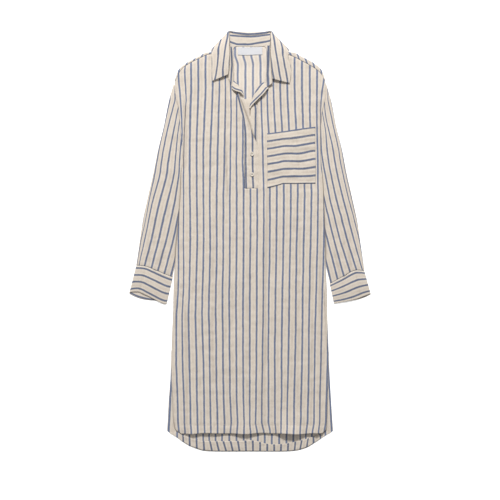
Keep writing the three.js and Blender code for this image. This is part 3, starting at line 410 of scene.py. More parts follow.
# ---- materials ---------------------------------------------------------------------
class Graph:
    def __init__(self, name):
        self.mat = bpy.data.materials.new(name)
        self.mat.use_nodes = True
        self.t = self.mat.node_tree
        self.t.nodes.clear()
        self.out = self.t.nodes.new("ShaderNodeOutputMaterial")
        self.bsdf = self.t.nodes.new("ShaderNodeBsdfPrincipled")
        self.t.links.new(self.bsdf.outputs[0], self.out.inputs[0])

    def link(self, a, b):
        self.t.links.new(a, b)

    def set(self, socket, v):
        if hasattr(v, "is_output"):
            self.link(v, socket)
        else:
            socket.default_value = v

    def math(self, op, a, b=0.0, c=None):
        n = self.t.nodes.new("ShaderNodeMath")
        n.operation = op
        self.set(n.inputs[0], a)
        self.set(n.inputs[1], b)
        if c is not None:
            self.set(n.inputs[2], c)
        return n.outputs[0]

    def mix(self, f, a, b, mode="MIX"):
        n = self.t.nodes.new("ShaderNodeMix")
        n.data_type = "RGBA"
        n.blend_type = mode
        self.set(n.inputs[0], f)
        for s, v in ((n.inputs[6], a), (n.inputs[7], b)):
            self.set(s, v if hasattr(v, "is_output") else (*v, 1.0))
        return n.outputs[2]

    def band(self, x, lo, hi, y0=0.0, y1=1.0):
        n = self.t.nodes.new("ShaderNodeMapRange")
        n.interpolation_type = "SMOOTHSTEP"
        self.set(n.inputs[0], x)
        for k, v in enumerate((lo, hi, y0, y1)):
            n.inputs[k + 1].default_value = v
        return n.outputs[0]

    def uv(self, layer="Cloth"):
        n = self.t.nodes.new("ShaderNodeUVMap")
        n.uv_map = layer
        s = self.t.nodes.new("ShaderNodeSeparateXYZ")
        self.link(n.outputs[0], s.inputs[0])
        return s.outputs[0], s.outputs[1]

    def vec(self, x, y, z=0.0):
        n = self.t.nodes.new("ShaderNodeCombineXYZ")
        for k, v in enumerate((x, y, z)):
            self.set(n.inputs[k], v)
        return n.outputs[0]

    def noise(self, vector, scale, detail=2.0, rough=0.5):
        n = self.t.nodes.new("ShaderNodeTexNoise")
        self.link(vector, n.inputs["Vector"])
        n.inputs["Scale"].default_value = scale
        n.inputs["Detail"].default_value = detail
        n.inputs["Roughness"].default_value = rough
        return n.outputs[0]

    def bump(self, height, strength, distance, normal=None):
        n = self.t.nodes.new("ShaderNodeBump")
        n.inputs["Strength"].default_value = strength
        n.inputs["Distance"].default_value = distance
        self.link(height, n.inputs["Height"])
        if normal is not None:
            self.link(normal, n.inputs["Normal"])
        return n.outputs[0]


CREAM = (0.690, 0.620, 0.530)
CREAM_DEEP = (0.625, 0.552, 0.462)
BLUE = (0.082, 0.118, 0.222)
BLUE_PALE = (0.200, 0.238, 0.335)
TAN = (0.500, 0.420, 0.370)
# Painted shade: the brown mixed into the cloth where folds, creases and hollows lie in shade.
PAINTED_SHADE_BROWN = (0.150, 0.112, 0.080)
THREADS = 46.0  # threads in one stripe repeat, about 0.47 mm each


def cloth_material(name, seed=0.0, tone=1.0, ink=1.0):
    g = Graph(name)
    u, v = g.uv()
    place = g.vec(u, v, seed)
    # stripes wander a little with the threads
    wander = g.math("SUBTRACT", g.noise(place, 0.9, 2.0), 0.5)
    jitter = g.math("SUBTRACT", g.noise(g.vec(g.math("MULTIPLY", u, 3.0), g.math("MULTIPLY", v, 9.0), seed), 1.0, 1.0), 0.5)
    uu = g.math("ADD", u, g.math("ADD", g.math("MULTIPLY", wander, 0.10), g.math("MULTIPLY", jitter, 0.045)))
    cell = g.math("FRACT", g.math("ADD", uu, 0.5))
    off = g.math("ABSOLUTE", g.math("SUBTRACT", cell, 0.5))
    blue = g.band(off, 0.095, 0.190, 1.0, 0.0)
    # heathered yarns: pale flecks along the warp inside the blue
    yarn = g.noise(g.vec(g.math("MULTIPLY", u, 34.0), g.math("MULTIPLY", v, 5.0), seed + 3.1), 1.0, 3.0, 0.6)
    fleck = g.band(yarn, 0.50, 0.68)
    core = g.band(off, 0.02, 0.07, 1.0, 0.35)
    streak = g.noise(g.vec(g.math("MULTIPLY", u, 2.0), g.math("MULTIPLY", v, 1.4), seed + 7.7), 1.0, 2.0)
    # hairline pinstripes between the blue ones
    def hair(at, width):
        d = g.math("ABSOLUTE", g.math("SUBTRACT", off, at))
        return g.band(d, width * 0.4, width, 1.0, 0.0)
    lines = g.math("ADD", g.math("MULTIPLY", hair(0.370, 0.030), 0.58), g.math("ADD", g.math("MULTIPLY", hair(0.430, 0.026), 0.52), g.math("MULTIPLY", hair(0.5, 0.034), 0.70)))
    hairs = g.math("MULTIPLY", lines, g.band(streak, 0.30, 0.62, 0.35, 1.0))
    # warp and weft slubs
    warp_slub = g.noise(g.vec(g.math("MULTIPLY", u, 26.0), g.math("MULTIPLY", v, 0.8), seed + 1.3), 1.0, 2.0)
    weft_slub = g.noise(g.vec(g.math("MULTIPLY", u, 0.7), g.math("MULTIPLY", v, 24.0), seed + 5.9), 1.0, 2.0)
    patch = g.noise(place, 0.28, 3.0)
    slub = g.math("ADD", g.math("MULTIPLY", warp_slub, 0.55), g.math("MULTIPLY", weft_slub, 0.45))
    cream = g.mix(g.band(slub, 0.34, 0.66), tuple(c * tone for c in CREAM_DEEP), tuple(c * tone for c in CREAM))
    cream = g.mix(g.band(patch, 0.35, 0.7, 0.0, 0.22), cream, tuple(c * tone for c in (0.660, 0.596, 0.530)))
    ground = g.mix(hairs, cream, tuple(c * tone for c in TAN))
    deep = g.mix(g.math("MULTIPLY", fleck, 0.85), tuple(c * ink for c in BLUE), tuple(c * ink for c in BLUE_PALE))
    deep = g.mix(g.band(streak, 0.25, 0.75, 0.0, 0.35), deep, tuple(c * ink for c in BLUE_PALE))
    mask = g.math("MULTIPLY", blue, g.math("SUBTRACT", 1.0, g.math("MULTIPLY", g.band(yarn, 0.60, 0.80), 0.45)))
    mask = g.math("MULTIPLY", mask, g.math("ADD", 0.78, g.math("MULTIPLY", core, 0.22)))
    colour = g.mix(mask, ground, deep)
    # weave: crossing threads
    wu = g.math("SINE", g.math("MULTIPLY", u, THREADS * math.pi))
    wv = g.math("SINE", g.math("MULTIPLY", v, THREADS * math.pi))
    weave = g.math("MULTIPLY", wu, wv)
    shade = g.band(weave, -1.0, 1.0, 0.93, 1.03)
    fold, painted_light = g.uv("Tone")
    # Painted light: lighter, then a little paler, where the Tone map's second value is set.
    shade = g.math("MULTIPLY", shade, g.math("ADD", 1.0, g.math("MULTIPLY", painted_light, 0.09)))
    colour = g.mix(1.0, colour, g.vec(shade, shade, shade), "MULTIPLY")
    colour = g.mix(g.math("MULTIPLY", painted_light, 0.05), colour, (0.90, 0.87, 0.83))
    # Painted shade: brown where the Tone map's first value is set, in folds, creases and hollows.
    colour = g.mix(g.math("MULTIPLY", fold, 0.92), colour, PAINTED_SHADE_BROWN)
    g.link(colour, g.bsdf.inputs["Base Color"])
    g.link(g.band(slub, 0.3, 0.7, 0.92, 0.80), g.bsdf.inputs["Roughness"])
    g.bsdf.inputs["Specular IOR Level"].default_value = 0.22
    g.bsdf.inputs["Sheen Weight"].default_value = 0.12
    g.bsdf.inputs["Sheen Roughness"].default_value = 0.5
    pucker = g.noise(g.vec(g.math("MULTIPLY", u, 5.0), g.math("MULTIPLY", v, 2.6), seed + 9.0), 1.0, 4.0, 0.6)
    n1 = g.bump(pucker, 0.55, 0.0007)
    n2 = g.bump(g.math("ADD", g.math("MULTIPLY", weave, 0.5), g.math("MULTIPLY", slub, 1.0)), 0.35, 0.00018, n1)
    g.link(n2, g.bsdf.inputs["Normal"])
    return g.mat


def label_material():
    g = Graph("label_tape")
    u, v = g.uv()
    rib = g.math("SINE", g.math("MULTIPLY", v, 160.0))
    fine = g.math("SINE", g.math("MULTIPLY", u, 210.0))
    n = g.noise(g.vec(g.math("MULTIPLY", u, 3.0), g.math("MULTIPLY", v, 3.0)), 4.0, 3.0)
    edge = g.band(g.math("ABSOLUTE", g.math("SUBTRACT", g.math("MODULO", v, 1.0), 0.5)), 0.40, 0.5, 0.0, 1.0)
    c = g.mix(n, (0.640, 0.640, 0.655), (0.575, 0.575, 0.600))
    c = g.mix(g.math("MULTIPLY", edge, 0.35), c, (0.48, 0.48, 0.52))
    g.link(c, g.bsdf.inputs["Base Color"])
    g.link(g.band(n, 0.3, 0.7, 0.62, 0.5), g.bsdf.inputs["Roughness"])
    g.link(g.bump(g.math("ADD", rib, g.math("MULTIPLY", fine, 0.4)), 0.4, 0.0002), g.bsdf.inputs["Normal"])
    return g.mat


def object_noise(g, scale, detail=3.0):
    n = g.t.nodes.new("ShaderNodeTexCoord")
    return g.noise(n.outputs["Object"], scale, detail)


def button_material():
    g = Graph("button_pearl")
    n = object_noise(g, 420.0, 4.0)
    m = object_noise(g, 140.0, 2.0)
    c = g.mix(n, (0.66, 0.60, 0.52), (0.50, 0.44, 0.37))
    c = g.mix(g.band(m, 0.35, 0.65, 0.0, 0.4), c, (0.70, 0.66, 0.62))
    g.link(c, g.bsdf.inputs["Base Color"])
    g.link(g.band(n, 0.3, 0.7, 0.22, 0.38), g.bsdf.inputs["Roughness"])
    g.bsdf.inputs["Coat Weight"].default_value = 0.3
    g.link(g.bump(n, 0.15, 0.0002), g.bsdf.inputs["Normal"])
    return g.mat


def thread_material(name, a, b):
    g = Graph(name)
    n = object_noise(g, 900.0, 3.0)
    g.link(g.mix(n, a, b), g.bsdf.inputs["Base Color"])
    g.link(g.band(n, 0.3, 0.7, 0.85, 0.6), g.bsdf.inputs["Roughness"])
    g.link(g.bump(n, 0.5, 0.0002), g.bsdf.inputs["Normal"])
    return g.mat


CLOTH = cloth_material("cloth_body", 0.0)
CLOTH_BACK = cloth_material("cloth_back", 21.0)
CLOTH_SLEEVE = cloth_material("cloth_sleeves", 43.0, 0.985, 0.92)
CLOTH_TRIM = cloth_material("cloth_trims", 67.0, 0.985, 0.76)
LABEL = label_material()
PEARL = button_material()
THREAD = thread_material("sewing_thread", (0.70, 0.63, 0.54), (0.58, 0.51, 0.43))
THREAD_DARK = thread_material("button_thread", (0.30, 0.26, 0.22), (0.20, 0.17, 0.15))

# ---- the front --------------------------------------------------------------------
ROWS_SIDE = len(SIDES["y"])  # 17 side levels, then 8 armhole levels, then the shoulder
ROWS_ALL = ROWS_SIDE + 8 + 1


def level_rows(step, stops):
    """Fractional rows through the level tables, about one step apart."""
    out = []
    for i in range(len(stops) - 1):
        k = max(2, int(math.ceil(abs(stops[i + 1] - stops[i]) / step)))
        out += [i + m / k for m in range(k)]
    return np.array(out + [len(stops) - 1.0])


def front_half(r, t, left):
    """Sheet point of one half of the front at row r and t from outer to inner edge."""
    A, S = (ARM_LEFT, SHOULDER_LEFT) if left else (ARM_RIGHT, SHOULDER_RIGHT)
    inner0 = 244.5 if left else 257.1
    ox = np.concatenate([SIDES["left" if left else "right"], A["arm_x"], S["seam_x"][:1]])
    oy = np.concatenate([SIDES["y"], A["arm_y"], S["seam_y"][:1]])
    ix = np.concatenate([np.full(ROWS_SIDE, inner0), A["neck_x"], S["seam_x"][-1:]])
    iy = np.concatenate([SIDES["y"], A["neck_y"], S["seam_y"][-1:]])
    Ox, Oy, Ix, Iy = spline(ox, r), spline(oy, r), spline(ix, r), spline(iy, r)
    n = len(S["seam_x"]) - 1
    bow = smooth((r - (ROWS_ALL - 6)) / 5.0) ** 1.5
    sx = spline(S["seam_x"], t * n) - lerp(S["seam_x"][0], S["seam_x"][-1], t)
    sy = spline(S["seam_y"], t * n) - lerp(S["seam_y"][0], S["seam_y"][-1], t)
    return lerp(Ox, Ix, t) + bow * sx, lerp(Oy, Iy, t) + bow * sy


def edge_distance(x, y):
    left = np.where(y > 162, read(y, SIDES["y"], SIDES["left"]), read(y, ARM_LEFT["arm_y"], ARM_LEFT["arm_x"]))
    right = np.where(y > 159, read(y, SIDES["y"], SIDES["right"]), read(y, ARM_RIGHT["arm_y"], ARM_RIGHT["arm_x"]))
    sh_l = y - read(x, SHOULDER_LEFT["seam_x"], SHOULDER_LEFT["seam_y"])
    sh_r = y - read(x, SHOULDER_RIGHT["seam_x"], SHOULDER_RIGHT["seam_y"])
    return np.maximum(0, np.minimum.reduce([x - left, right - x, 0.8 * np.where(x < 250, sh_l, sh_r)]))


def neck_raise(x, y):
    return 1.85 * smooth((66 - y) / 12.0) * (1 - smooth((np.abs(x - 250) - 37) / 9.0))


def front_z(x, y):
    d = edge_distance(x, y)
    z = 0.95 + 1.5 * rounded(d, 2.6) + 1.5 * smooth(d / 13.0)
    soft = smooth(d / 4.0)
    for top_x, foot_x, rise, width, top, foot in FOLDS:
        line = lerp(top_x, foot_x, clip01((y - top) / (foot - top))) + 0.5 * sway(x * 0 + top_x, y)
        fade = smooth((y - top) / 22.0) * (smooth((foot - y) / 22.0) if foot < 428 else 1.0)
        z = z + rise * 1.25 * np.exp(-((x - line) ** 2) / (2 * width ** 2)) * fade * soft
    for at, rise, width in HEM_LIFTS:
        z = z + rise * np.exp(-((x - at) ** 2) / (2 * width ** 2)) * np.clip((y - 396) / 37.4, 0, 1.05) ** 2.2
    z = z + 0.42 * rumple(x, y) * smooth(d / 8.0) + crinkle(x, y) * smooth(d / 2.0)
    # turned hem: puckers, a ridge at the fold, a groove at its stitch line
    z = z + 0.30 * np.sin(x * 1.75 + 1.4 * np.sin(x * 0.23)) * np.exp(-((y - 425.4) / 3.4) ** 2)
    z = z - 0.50 * np.exp(-((y - 424.6) / 0.9) ** 2) + 0.30 * smooth((y - 425.2) / 1.2)
    return np.maximum(z + neck_raise(x, y) * (1 - 0.55 * smooth(d / 13.0)), 1.25)


def creep(x, y):
    ys = np.array([r[0] for r in CREEP], float)
    vals = np.array([r[1] for r in CREEP], float)
    cols = np.stack([np.interp(y, ys, vals[:, k]) for k in range(vals.shape[1])], -1)
    g = np.clip(np.interp(x, CREEP_X, np.arange(len(CREEP_X))), 0, len(CREEP_X) - 1.001)
    i = g.astype(int)
    f = g - i
    a = np.take_along_axis(cols, i[..., None], -1)[..., 0]
    b = np.take_along_axis(cols, i[..., None] + 1, -1)[..., 0]
    return a * (1 - f) + b * f


def steps(v, knots, values):
    """Piecewise reading where the knots themselves change from point to point."""
    out = np.full(v.shape, float(values[0]))
    for k in range(len(knots) - 1):
        a, b = knots[k], knots[k + 1]
        f = clip01((v - a) / np.maximum(b - a, 1e-6))
        out = np.where(v > a, lerp(values[k], values[k + 1], f), out)
    return out


def front_u(x, y):
    u = 10.0 + (x - 250.2) / 6.83 + creep(x, y) + 0.012 * sway(x, y)
    band = smooth((y - 66) / 6.0) * (1 - smooth((y - 166) / 14.0))
    G = ARM_STRIPES_LEFT
    a, b, c, w = [read(y, G["y"], G[k]) for k in ("first", "second", "third", "half")]
    left = steps(x, [a - 6.5, a - 0.65, a + 0.65, np.maximum(b - w, a + 0.7), b + w, c - 0.65, c + 0.65], [-2.0, -1.1, -0.9, -0.1, 0.1, 0.9, 1.1])
    u = lerp(u, left, band * smooth((191.0 - x) / 2.5))
    G = ARM_STRIPES_RIGHT
    a, b, w = [read(y, G["y"], G[k]) for k in ("first", "second", "half")]
    right = steps(-x, [-b - 6.5, -b - w, -b + w, -a - 0.65, -a + 0.65], [22.0, 21.1, 20.9, 20.1, 19.9])
    return lerp(u, right, band * smooth((x - 316.0) / 2.0))


rows = level_rows(1.3, np.concatenate([SIDES["y"], ARM_LEFT["arm_y"], [66.0]]))
HALF, SLOT_COLS = 56, 9
tl = np.linspace(0, 1, HALF + 1)
tl = lerp(tl, tl ** 1.25, 0.6)  # closer columns near the outer edges
R_, T_ = np.meshgrid(rows, tl, indexing="ij")
lx, ly = front_half(R_, T_, True)
rx, ry = front_half(R_, T_, False)
rx, ry = rx[:, ::-1], ry[:, ::-1]
mid = np.linspace(0, 1, SLOT_COLS + 1)[None, 1:-1]
mx, my = lerp(lx[:, -1:], rx[:, :1], mid), lerp(ly[:, -1:], ry[:, :1], mid)
FX, FY = np.concatenate([lx, mx, rx], 1), np.concatenate([ly, my, ry], 1)
# the free hem is not quite straight
hem_wave = 0.35 * np.sin(FX / 9.0) + 0.25 * np.sin(FX / 4.3 + 1.0)
FY = FY + hem_wave * smooth((FY - 424) / 9.0)
front_P = world(FX, FY, front_z(FX, FY))


# Painted shade along the listed creases.
def crease_shade(x, y):
    out = np.zeros(np.broadcast(x, y).shape)
    for dark, half, pts in CREASE_SHADES:
        ys, xs = np.array(pts).T
        line = np.interp(y, ys, xs)
        ends = smooth((y - ys[0]) / 7.0 + 0.2) * smooth((ys[-1] - y) / 9.0 + 0.2)
        out = np.maximum(out, dark * ends * np.exp(-((x - line) / half) ** 2 * 0.7))
    return out


def side_shade(x, y):
    """Painted shade along the front's side edges: in the valley where they lie against the sleeve, and near the hem."""
    d = np.minimum(x - read(y, SIDES["y"], SIDES["left"]), read(y, SIDES["y"], SIDES["right"]) - x)
    along = smooth((y - 168) / 12.0) * smooth((272 - y) / 16.0)
    low = 0.55 * smooth((y - 372) / 25.0)
    return np.maximum(0.72 * along, low) * np.exp(-np.maximum(d, 0) / 0.42)


# Painted shade of the front: its creases and side valleys.
front_shade = np.maximum(crease_shade(FX, FY), side_shade(FX, FY))
front_UV = np.stack([front_u(FX, FY), (241 - FY) / PITCH], -1)
front_live = np.ones((len(rows) - 1, FX.shape[1] - 1), bool)
slot_row = int(np.argmin(np.abs(rows - (ROWS_SIDE - 2))))
front_live[slot_row:, HALF:HALF + SLOT_COLS] = False
shell("dress_front", front_P, front_UV, CLOTH, live=front_live, fold=front_shade)
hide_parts("front")


# ---- the back ----------------------------------------------------------------------
def back_z(x, y):
    z = 0.32 + neck_raise(x, y) * np.where(np.abs(x - 250) < 17, smooth((y - 44.6) / 2.2), 1.0)
    inside = smooth((y - 431) / 3.0) * smooth((450 - y) / 3.0)
    return z + inside * (0.35 * (1 + rumple(x, y) * 0.4))


def back_u(x, y):
    low_neck = smooth((y - 54) / 11.0)
    upper = (x - lerp(251.2, 253.0, low_neck)) / lerp(np.where(x < 251.2, 8.05, 8.6), 7.6, low_neck)
    lower = (x - 250.0) / 6.85 + 0.12
    lean = np.where(x < 250, -1.0, 1.0) * 2.5 * clip01((434 - y) / 49.0) * smooth((np.abs(x - 250) - 55) / 15.0)
    low = np.interp(x + lean, HEM_STRIPES["back"], HEM_INDEX) - 10.0
    lower = lerp(lower, low, smooth((y - 350) / 25.0))
    return 10.0 + lerp(upper, lower, smooth((y - 110) / 200.0))


def back_side(y, left):
    key = "left" if left else "right"
    lo = read(y, BACK_SIDES["y"], BACK_SIDES[key])
    hi = read(y, SIDES["y"], SIDES[key])
    A = ARM_LEFT if left else ARM_RIGHT
    arm = read(y, A["arm_y"], A["arm_x"])
    return np.where(y > 350, lo, np.where(y > (162 if left else 159), hi, arm))


def hem_y(x):
    return read(x, HEM["x"], HEM["y"])


def back_grid():
    cols = 150
    t = np.linspace(0, 1, cols + 1)
    # hem line first, then levels up to the underarm and armhole, then the shoulder fold and its wrap
    ys = np.concatenate([np.linspace(430, 350, 44)[1:], np.linspace(350, 84, 120)[1:]])
    hx = lerp(HEM["x"][0], HEM["x"][-1], t)
    hy = spline(HEM["y"], np.interp(hx, HEM["x"], np.arange(len(HEM["x"]))))
    X, Y = [hx], [hy]
    for k in range(1, 13):  # from the hem curve up to a straight level
        f = k / 12.0
        y = lerp(hy, 430.0, f)
        l, r = back_side(430.0, True), back_side(430.0, False)
        X.append(lerp(hx, lerp(l, r, t), f))
        Y.append(y)
    for y in ys:
        X.append(lerp(back_side(np.array(y), True), back_side(np.array(y), False), t))
        Y.append(np.full_like(t, y))
    base_x, base_y = X[-1], Y[-1]
    line = {k: np.concatenate([SHOULDER_LEFT[k], SHOULDER_RIGHT[k][::-1]]) for k in SHOULDER_LEFT}
    m = len(SHOULDER_LEFT["seam_x"])
    q = np.interp(base_x, line["fold_x"], np.arange(2 * m))
    fx, fy = spline(line["fold_x"], q), spline(line["fold_y"], q)
    neck = (q > m - 1) & (q < m)
    fx = np.where(neck, lerp(line["fold_x"][m - 1], line["fold_x"][m], q - (m - 1)), fx)
    fy = np.where(neck, 45.7, fy)
    for k in range(1, 25):
        f = k / 24.0
        X.append(lerp(base_x, fx, f))
        Y.append(lerp(base_y, fy, f))
    X, Y = np.array(X), np.array(Y)
    Z = back_z(X, Y)
    # wrap over the shoulder: half round, then forward to the seam
    sx, sy = spline(line["seam_x"], q), spline(line["seam_y"], q)
    dx, dy = sx - fx, sy - fy
    l = np.maximum(np.hypot(dx, dy), 1e-6)
    away = smooth((np.abs(base_x - 250) - 33) / 6.0)
    turn = 0.5  # sheet units
    ex, ey, ez = [], [], []
    z0 = Z[-1]
    height = 1.7 * away
    for a in (30, 60, 90, 120, 150, 180):
        s, c = math.sin(math.radians(a)), math.cos(math.radians(a))
        ex.append(fx + dx / l * turn * (1 - s) - dx / l * turn * 0.0)
        ey.append(fy + dy / l * turn * (1 - s))
        ez.append(z0 + height * (1 - c) / 2)
    # the last flat row steps back so that the round starts inside the fold line
    X[-1], Y[-1] = fx + dx / l * turn, fy + dy / l * turn
    for k in range(1, 7):
        f = k / 6.0
        ex.append(lerp(fx + dx / l * turn, sx - dx / l * 0.1, f))
        ey.append(lerp(fy + dy / l * turn, sy - dy / l * 0.1, f))
        ez.append(z0 + height + away * 0.45 * math.sin(math.pi * f * 0.8) - 0.25 * away * f)
    wrap_rows = len(ex)
    X = np.concatenate([X, np.array(ex)])
    Y = np.concatenate([Y, np.array(ey)])
    Z = np.concatenate([Z, np.array(ez)])
    live = np.ones((X.shape[0] - 1, cols), bool)
    gone = away[:-1] + away[1:] < 0.05
    live[-wrap_rows:, gone] = False
    U_ = back_u(X, Y)
    # over the shoulder the stripes slant across the fold
    side = (np.abs(X - 250) - 39.3) / 7.9 - (Y - np.broadcast_to(fy, Y.shape)) * 0.07
    k = np.zeros(X.shape[0])
    k[-wrap_rows - 6:] = np.linspace(0, 1, 6).tolist() + [1.0] * wrap_rows
    U_ = lerp(U_, side, k[:, None] * smooth((np.abs(X - 250) - 34) / 4.0))
    return X, Y, Z, U_, live


BX, BY, BZ, BU, back_live = back_grid()
# Painted light: the inside of the back at the neck is made lighter and paler.
neck_painted_light = smooth((112 - BY) / 16.0) * smooth((27 - np.abs(BX - 250)) / 8.0)
shell("dress_back", world(BX, BY, BZ), np.stack([BU, (241 - BY) / PITCH], -1), CLOTH_BACK, live=back_live, painted_light=neck_painted_light)
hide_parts("back")

# hem facing inside the back
fx_ = np.linspace(182.0, 321.0, 150)
low = hem_y(fx_) - 0.45
high = np.interp(fx_, *np.array(FACING_TOP, float).T)
tt = np.linspace(0, 1, 11)[:, None]
GX, GY = np.broadcast_to(fx_, (11, 150)).copy(), lerp(low, np.minimum(high, low - 1.2), tt)
GZ = back_z(GX, GY) + 0.75 + 0.15 * crinkle_small(GX, GY) + 0.35 * tt ** 6
GU = np.zeros_like(GX)
for k in range(11):
    GU[k] = np.interp(GX[k], lerp(np.array(HEM_STRIPES["foot"]), np.array(HEM_STRIPES["edge"]), tt[k, 0]), HEM_INDEX)
shell("dress_back_facing", world(GX, GY, GZ), np.stack([GU, (241 - GY) / PITCH], -1), CLOTH_TRIM)
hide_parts("back_hem_facing")


# ---- sleeves and cuffs ---------------------------------------------------------------
def bend(p, t):
    """Point at t of the way across a drawn edge, from its outer to its inner end."""
    p = np.array(p, float)
    x = lerp(p[0, 0], p[-1, 0], t)
    sign = 1.0 if p[-1, 0] > p[0, 0] else -1.0
    return x, spline(p[:, 1], np.interp(sign * x, sign * p[:, 0], np.arange(len(p))))


def ring_columns(n_top, n_turn=4):
    """Columns round a flattened tube: (t across, angle part, layer)."""
    t = np.linspace(0, 1, n_top + 1)
    cols = [("top", v) for v in t]
    cols += [("in", a) for a in np.linspace(0, 1, n_turn + 2)[1:-1]]
    cols += [("low", v) for v in t[::-1]]
    cols += [("out", a) for a in np.linspace(0, 1, n_turn + 2)[1:-1]]
    return cols + [("top", 0.0)]


def flat_tube(name, line, top_z, low_z, u_of, along, material, low_line=None, flip=False, node=None, n_top=40, shade_of=None):
    """line(s, t) gives the sheet point at s along and t from outer to inner edge."""
    s = along
    cols = ring_columns(n_top)
    X = np.zeros((len(s), len(cols)))
    Y, Z, U_, V_, D = X.copy(), X.copy(), X.copy(), X.copy(), X.copy()
    eps = 0.02
    for c, (kind, v) in enumerate(cols):
        if kind in ("top", "low"):
            t = v
        else:
            t = 1.0 if kind == "in" else 0.0
        tv = np.full(len(s), t)
        x, y = line(s, tv)
        x2, y2 = line(s, tv + (-eps if t > 0.5 else eps))
        l = np.maximum(np.hypot(x2 - x, y2 - y), 1e-6)
        ix, iy = (x2 - x) / l, (y2 - y) / l  # inward direction
        zt, zl = top_z(s, tv, x, y), low_z(s, tv, x, y)
        inset = 0.42
        if kind == "top":
            z = zt
            w = np.minimum(v, 1 - v)
            k = max(0.0, 1 - w / 0.02)
            x, y = x + ix * inset * k, y + iy * inset * k
        elif kind == "low":
            z = zl
            w = np.minimum(v, 1 - v)
            k = max(0.0, 1 - w / 0.02)
            x, y = x + ix * inset * k, y + iy * inset * k
        else:
            a = math.pi * (v if kind == "in" else 1 - v)
            z = (zt + zl) / 2 + (zt - zl) / 2 * math.cos(a)
            x, y = x + ix * inset * (1 - math.sin(a)), y + iy * inset * (1 - math.sin(a))
        if low_line is not None:
            f = {"top": 0.0, "low": 1.0, "in": v, "out": 1 - v}[kind]
            ax, ay = low_line(s, tv)
            bx, by = line(s, tv)
            x, y = x + (ax - bx) * f, y + (ay - by) * f
        X[:, c], Y[:, c], Z[:, c] = x, y, z
        uu, vv = u_of(s, tv, x, y, kind)
        U_[:, c], V_[:, c] = uu, vv
        # Painted shade for the Tone map, where given.
        if shade_of is not None:
            D[:, c] = shade_of(s, tv, kind)
    P = world(X, Y, Z)
    shell(name, P, np.stack([U_, V_], -1), material, wrap=True, up=not flip, fold=D)
    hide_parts(node)
    return P


def sleeve_line(left):
    A = ARM_LEFT if left else ARM_RIGHT
    sign = -1.0 if left else 1.0
    hx, hy = A["arm_x"][::-1], A["arm_y"][::-1]
    run = np.concatenate([[0], np.cumsum(np.hypot(np.diff(hx), np.diff(hy)))])
    f = run / run[-1]
    key = "left" if left else "right"
    inner_x = np.concatenate([[hx[-1]], SIDES[key][::-1][:8]])
    inner_y = np.concatenate([[hy[-1]], SIDES["y"][::-1][:8]])
    cuff = CUFFS["cuff_right" if left else "cuff_left"]

    def line(s, t):
        k = s * 8.0
        ox, oy = 250 + sign * spline(SLEEVE_OUTER["half"], k), spline(SLEEVE_OUTER["y"], k)
        ix, iy = spline(inner_x, k), spline(inner_y, k)
        keep = np.clip(1 - k / 1.6, 0, 1) ** 1.3
        cx = np.interp(t, f, hx) - lerp(hx[0], hx[-1], t)
        cy = np.interp(t, f, hy) - lerp(hy[0], hy[-1], t)
        ox0, oy0 = 250 + sign * SLEEVE_OUTER["half"][0], SLEEVE_OUTER["y"][0]
        head = keep * (1 - t) * smooth(t / 0.03)
        x = lerp(ox, ix, t) + keep * cx + head * (hx[0] - ox0) + sign * lerp(0.02, -0.14, keep)
        y = lerp(oy, iy, t) + keep * cy + head * (hy[0] - oy0)
        bx, by = bend(cuff["top"], t)
        w = smooth((k - lerp(6.2, 7.15, t)) / lerp(1.8, 0.85, t))
        sx, sy = bx - lerp(cuff["top"][0][0], cuff["top"][-1][0], t), by - lerp(cuff["top"][0][1], cuff["top"][-1][1], t)
        ex, ey = cuff["top"][-1]
        fx, fy = cuff["top"][0]
        # last part follows the cuff seam
        x = x + w * (lerp(fx - (250 + sign * SLEEVE_OUTER["half"][-1]), ex - inner_x[-1], t) * 1.0)
        y = y + w * (lerp(fy - SLEEVE_OUTER["y"][-1], ey - inner_y[-1], t) - 0.25) + w * sy
        return x, y

    return line


def sleeve_u(levels, x, y):
    ys = np.array([r[0] for r in levels], float)
    xs = np.array([r[1] for r in levels], float)
    rows_ = np.stack([spline(xs[:, k], np.interp(y, ys, np.arange(len(ys)))) for k in range(xs.shape[1])], -1)
    out = np.zeros_like(x)
    idx = np.arange(-2, 5)
    flat_r, flat_x, flat_o = rows_.reshape(-1, 7), x.ravel(), out.ravel()
    sign = 1.0 if xs[0, -1] > xs[0, 0] else -1.0
    for i in range(len(flat_x)):
        r = flat_r[i] * sign
        v = flat_x[i] * sign
        if v < r[0]:
            flat_o[i] = idx[0] + (v - r[0]) / max(r[1] - r[0], 1.0)
        elif v > r[-1]:
            flat_o[i] = idx[-1] + (v - r[-1]) / max(r[-1] - r[-2], 1.0)
        else:
            flat_o[i] = np.interp(v, r, idx)
    return flat_o.reshape(x.shape)


# Sleeve wrinkles: where across (t), where along (s), height, half width across,
# half length along, slant.
SLEEVE_WRINKLES = [
    (0.30, 0.92, -2.0, 0.045, 0.06, 0.5), (0.48, 0.93, 1.4, 0.06, 0.07, 0.2), (0.64, 0.93, -1.8, 0.045, 0.06, -0.3),
    (0.40, 0.86, -1.3, 0.04, 0.07, 0.9), (0.56, 0.84, 1.0, 0.05, 0.07, -0.6),
    (0.18, 0.92, 0.9, 0.05, 0.05, 0.4), (0.82, 0.92, 0.8, 0.05, 0.06, 0.0), (0.40, 0.55, 0.9, 0.10, 0.20, 0.6),
    (0.62, 0.42, -0.8, 0.07, 0.18, 0.4), (0.75, 0.62, 0.8, 0.08, 0.14, 0.3), (0.55, 0.74, -0.9, 0.06, 0.10, -0.5),
    (0.30, 0.72, 0.7, 0.08, 0.12, 0.2), (0.86, 0.48, -0.8, 0.05, 0.16, 0.1)]


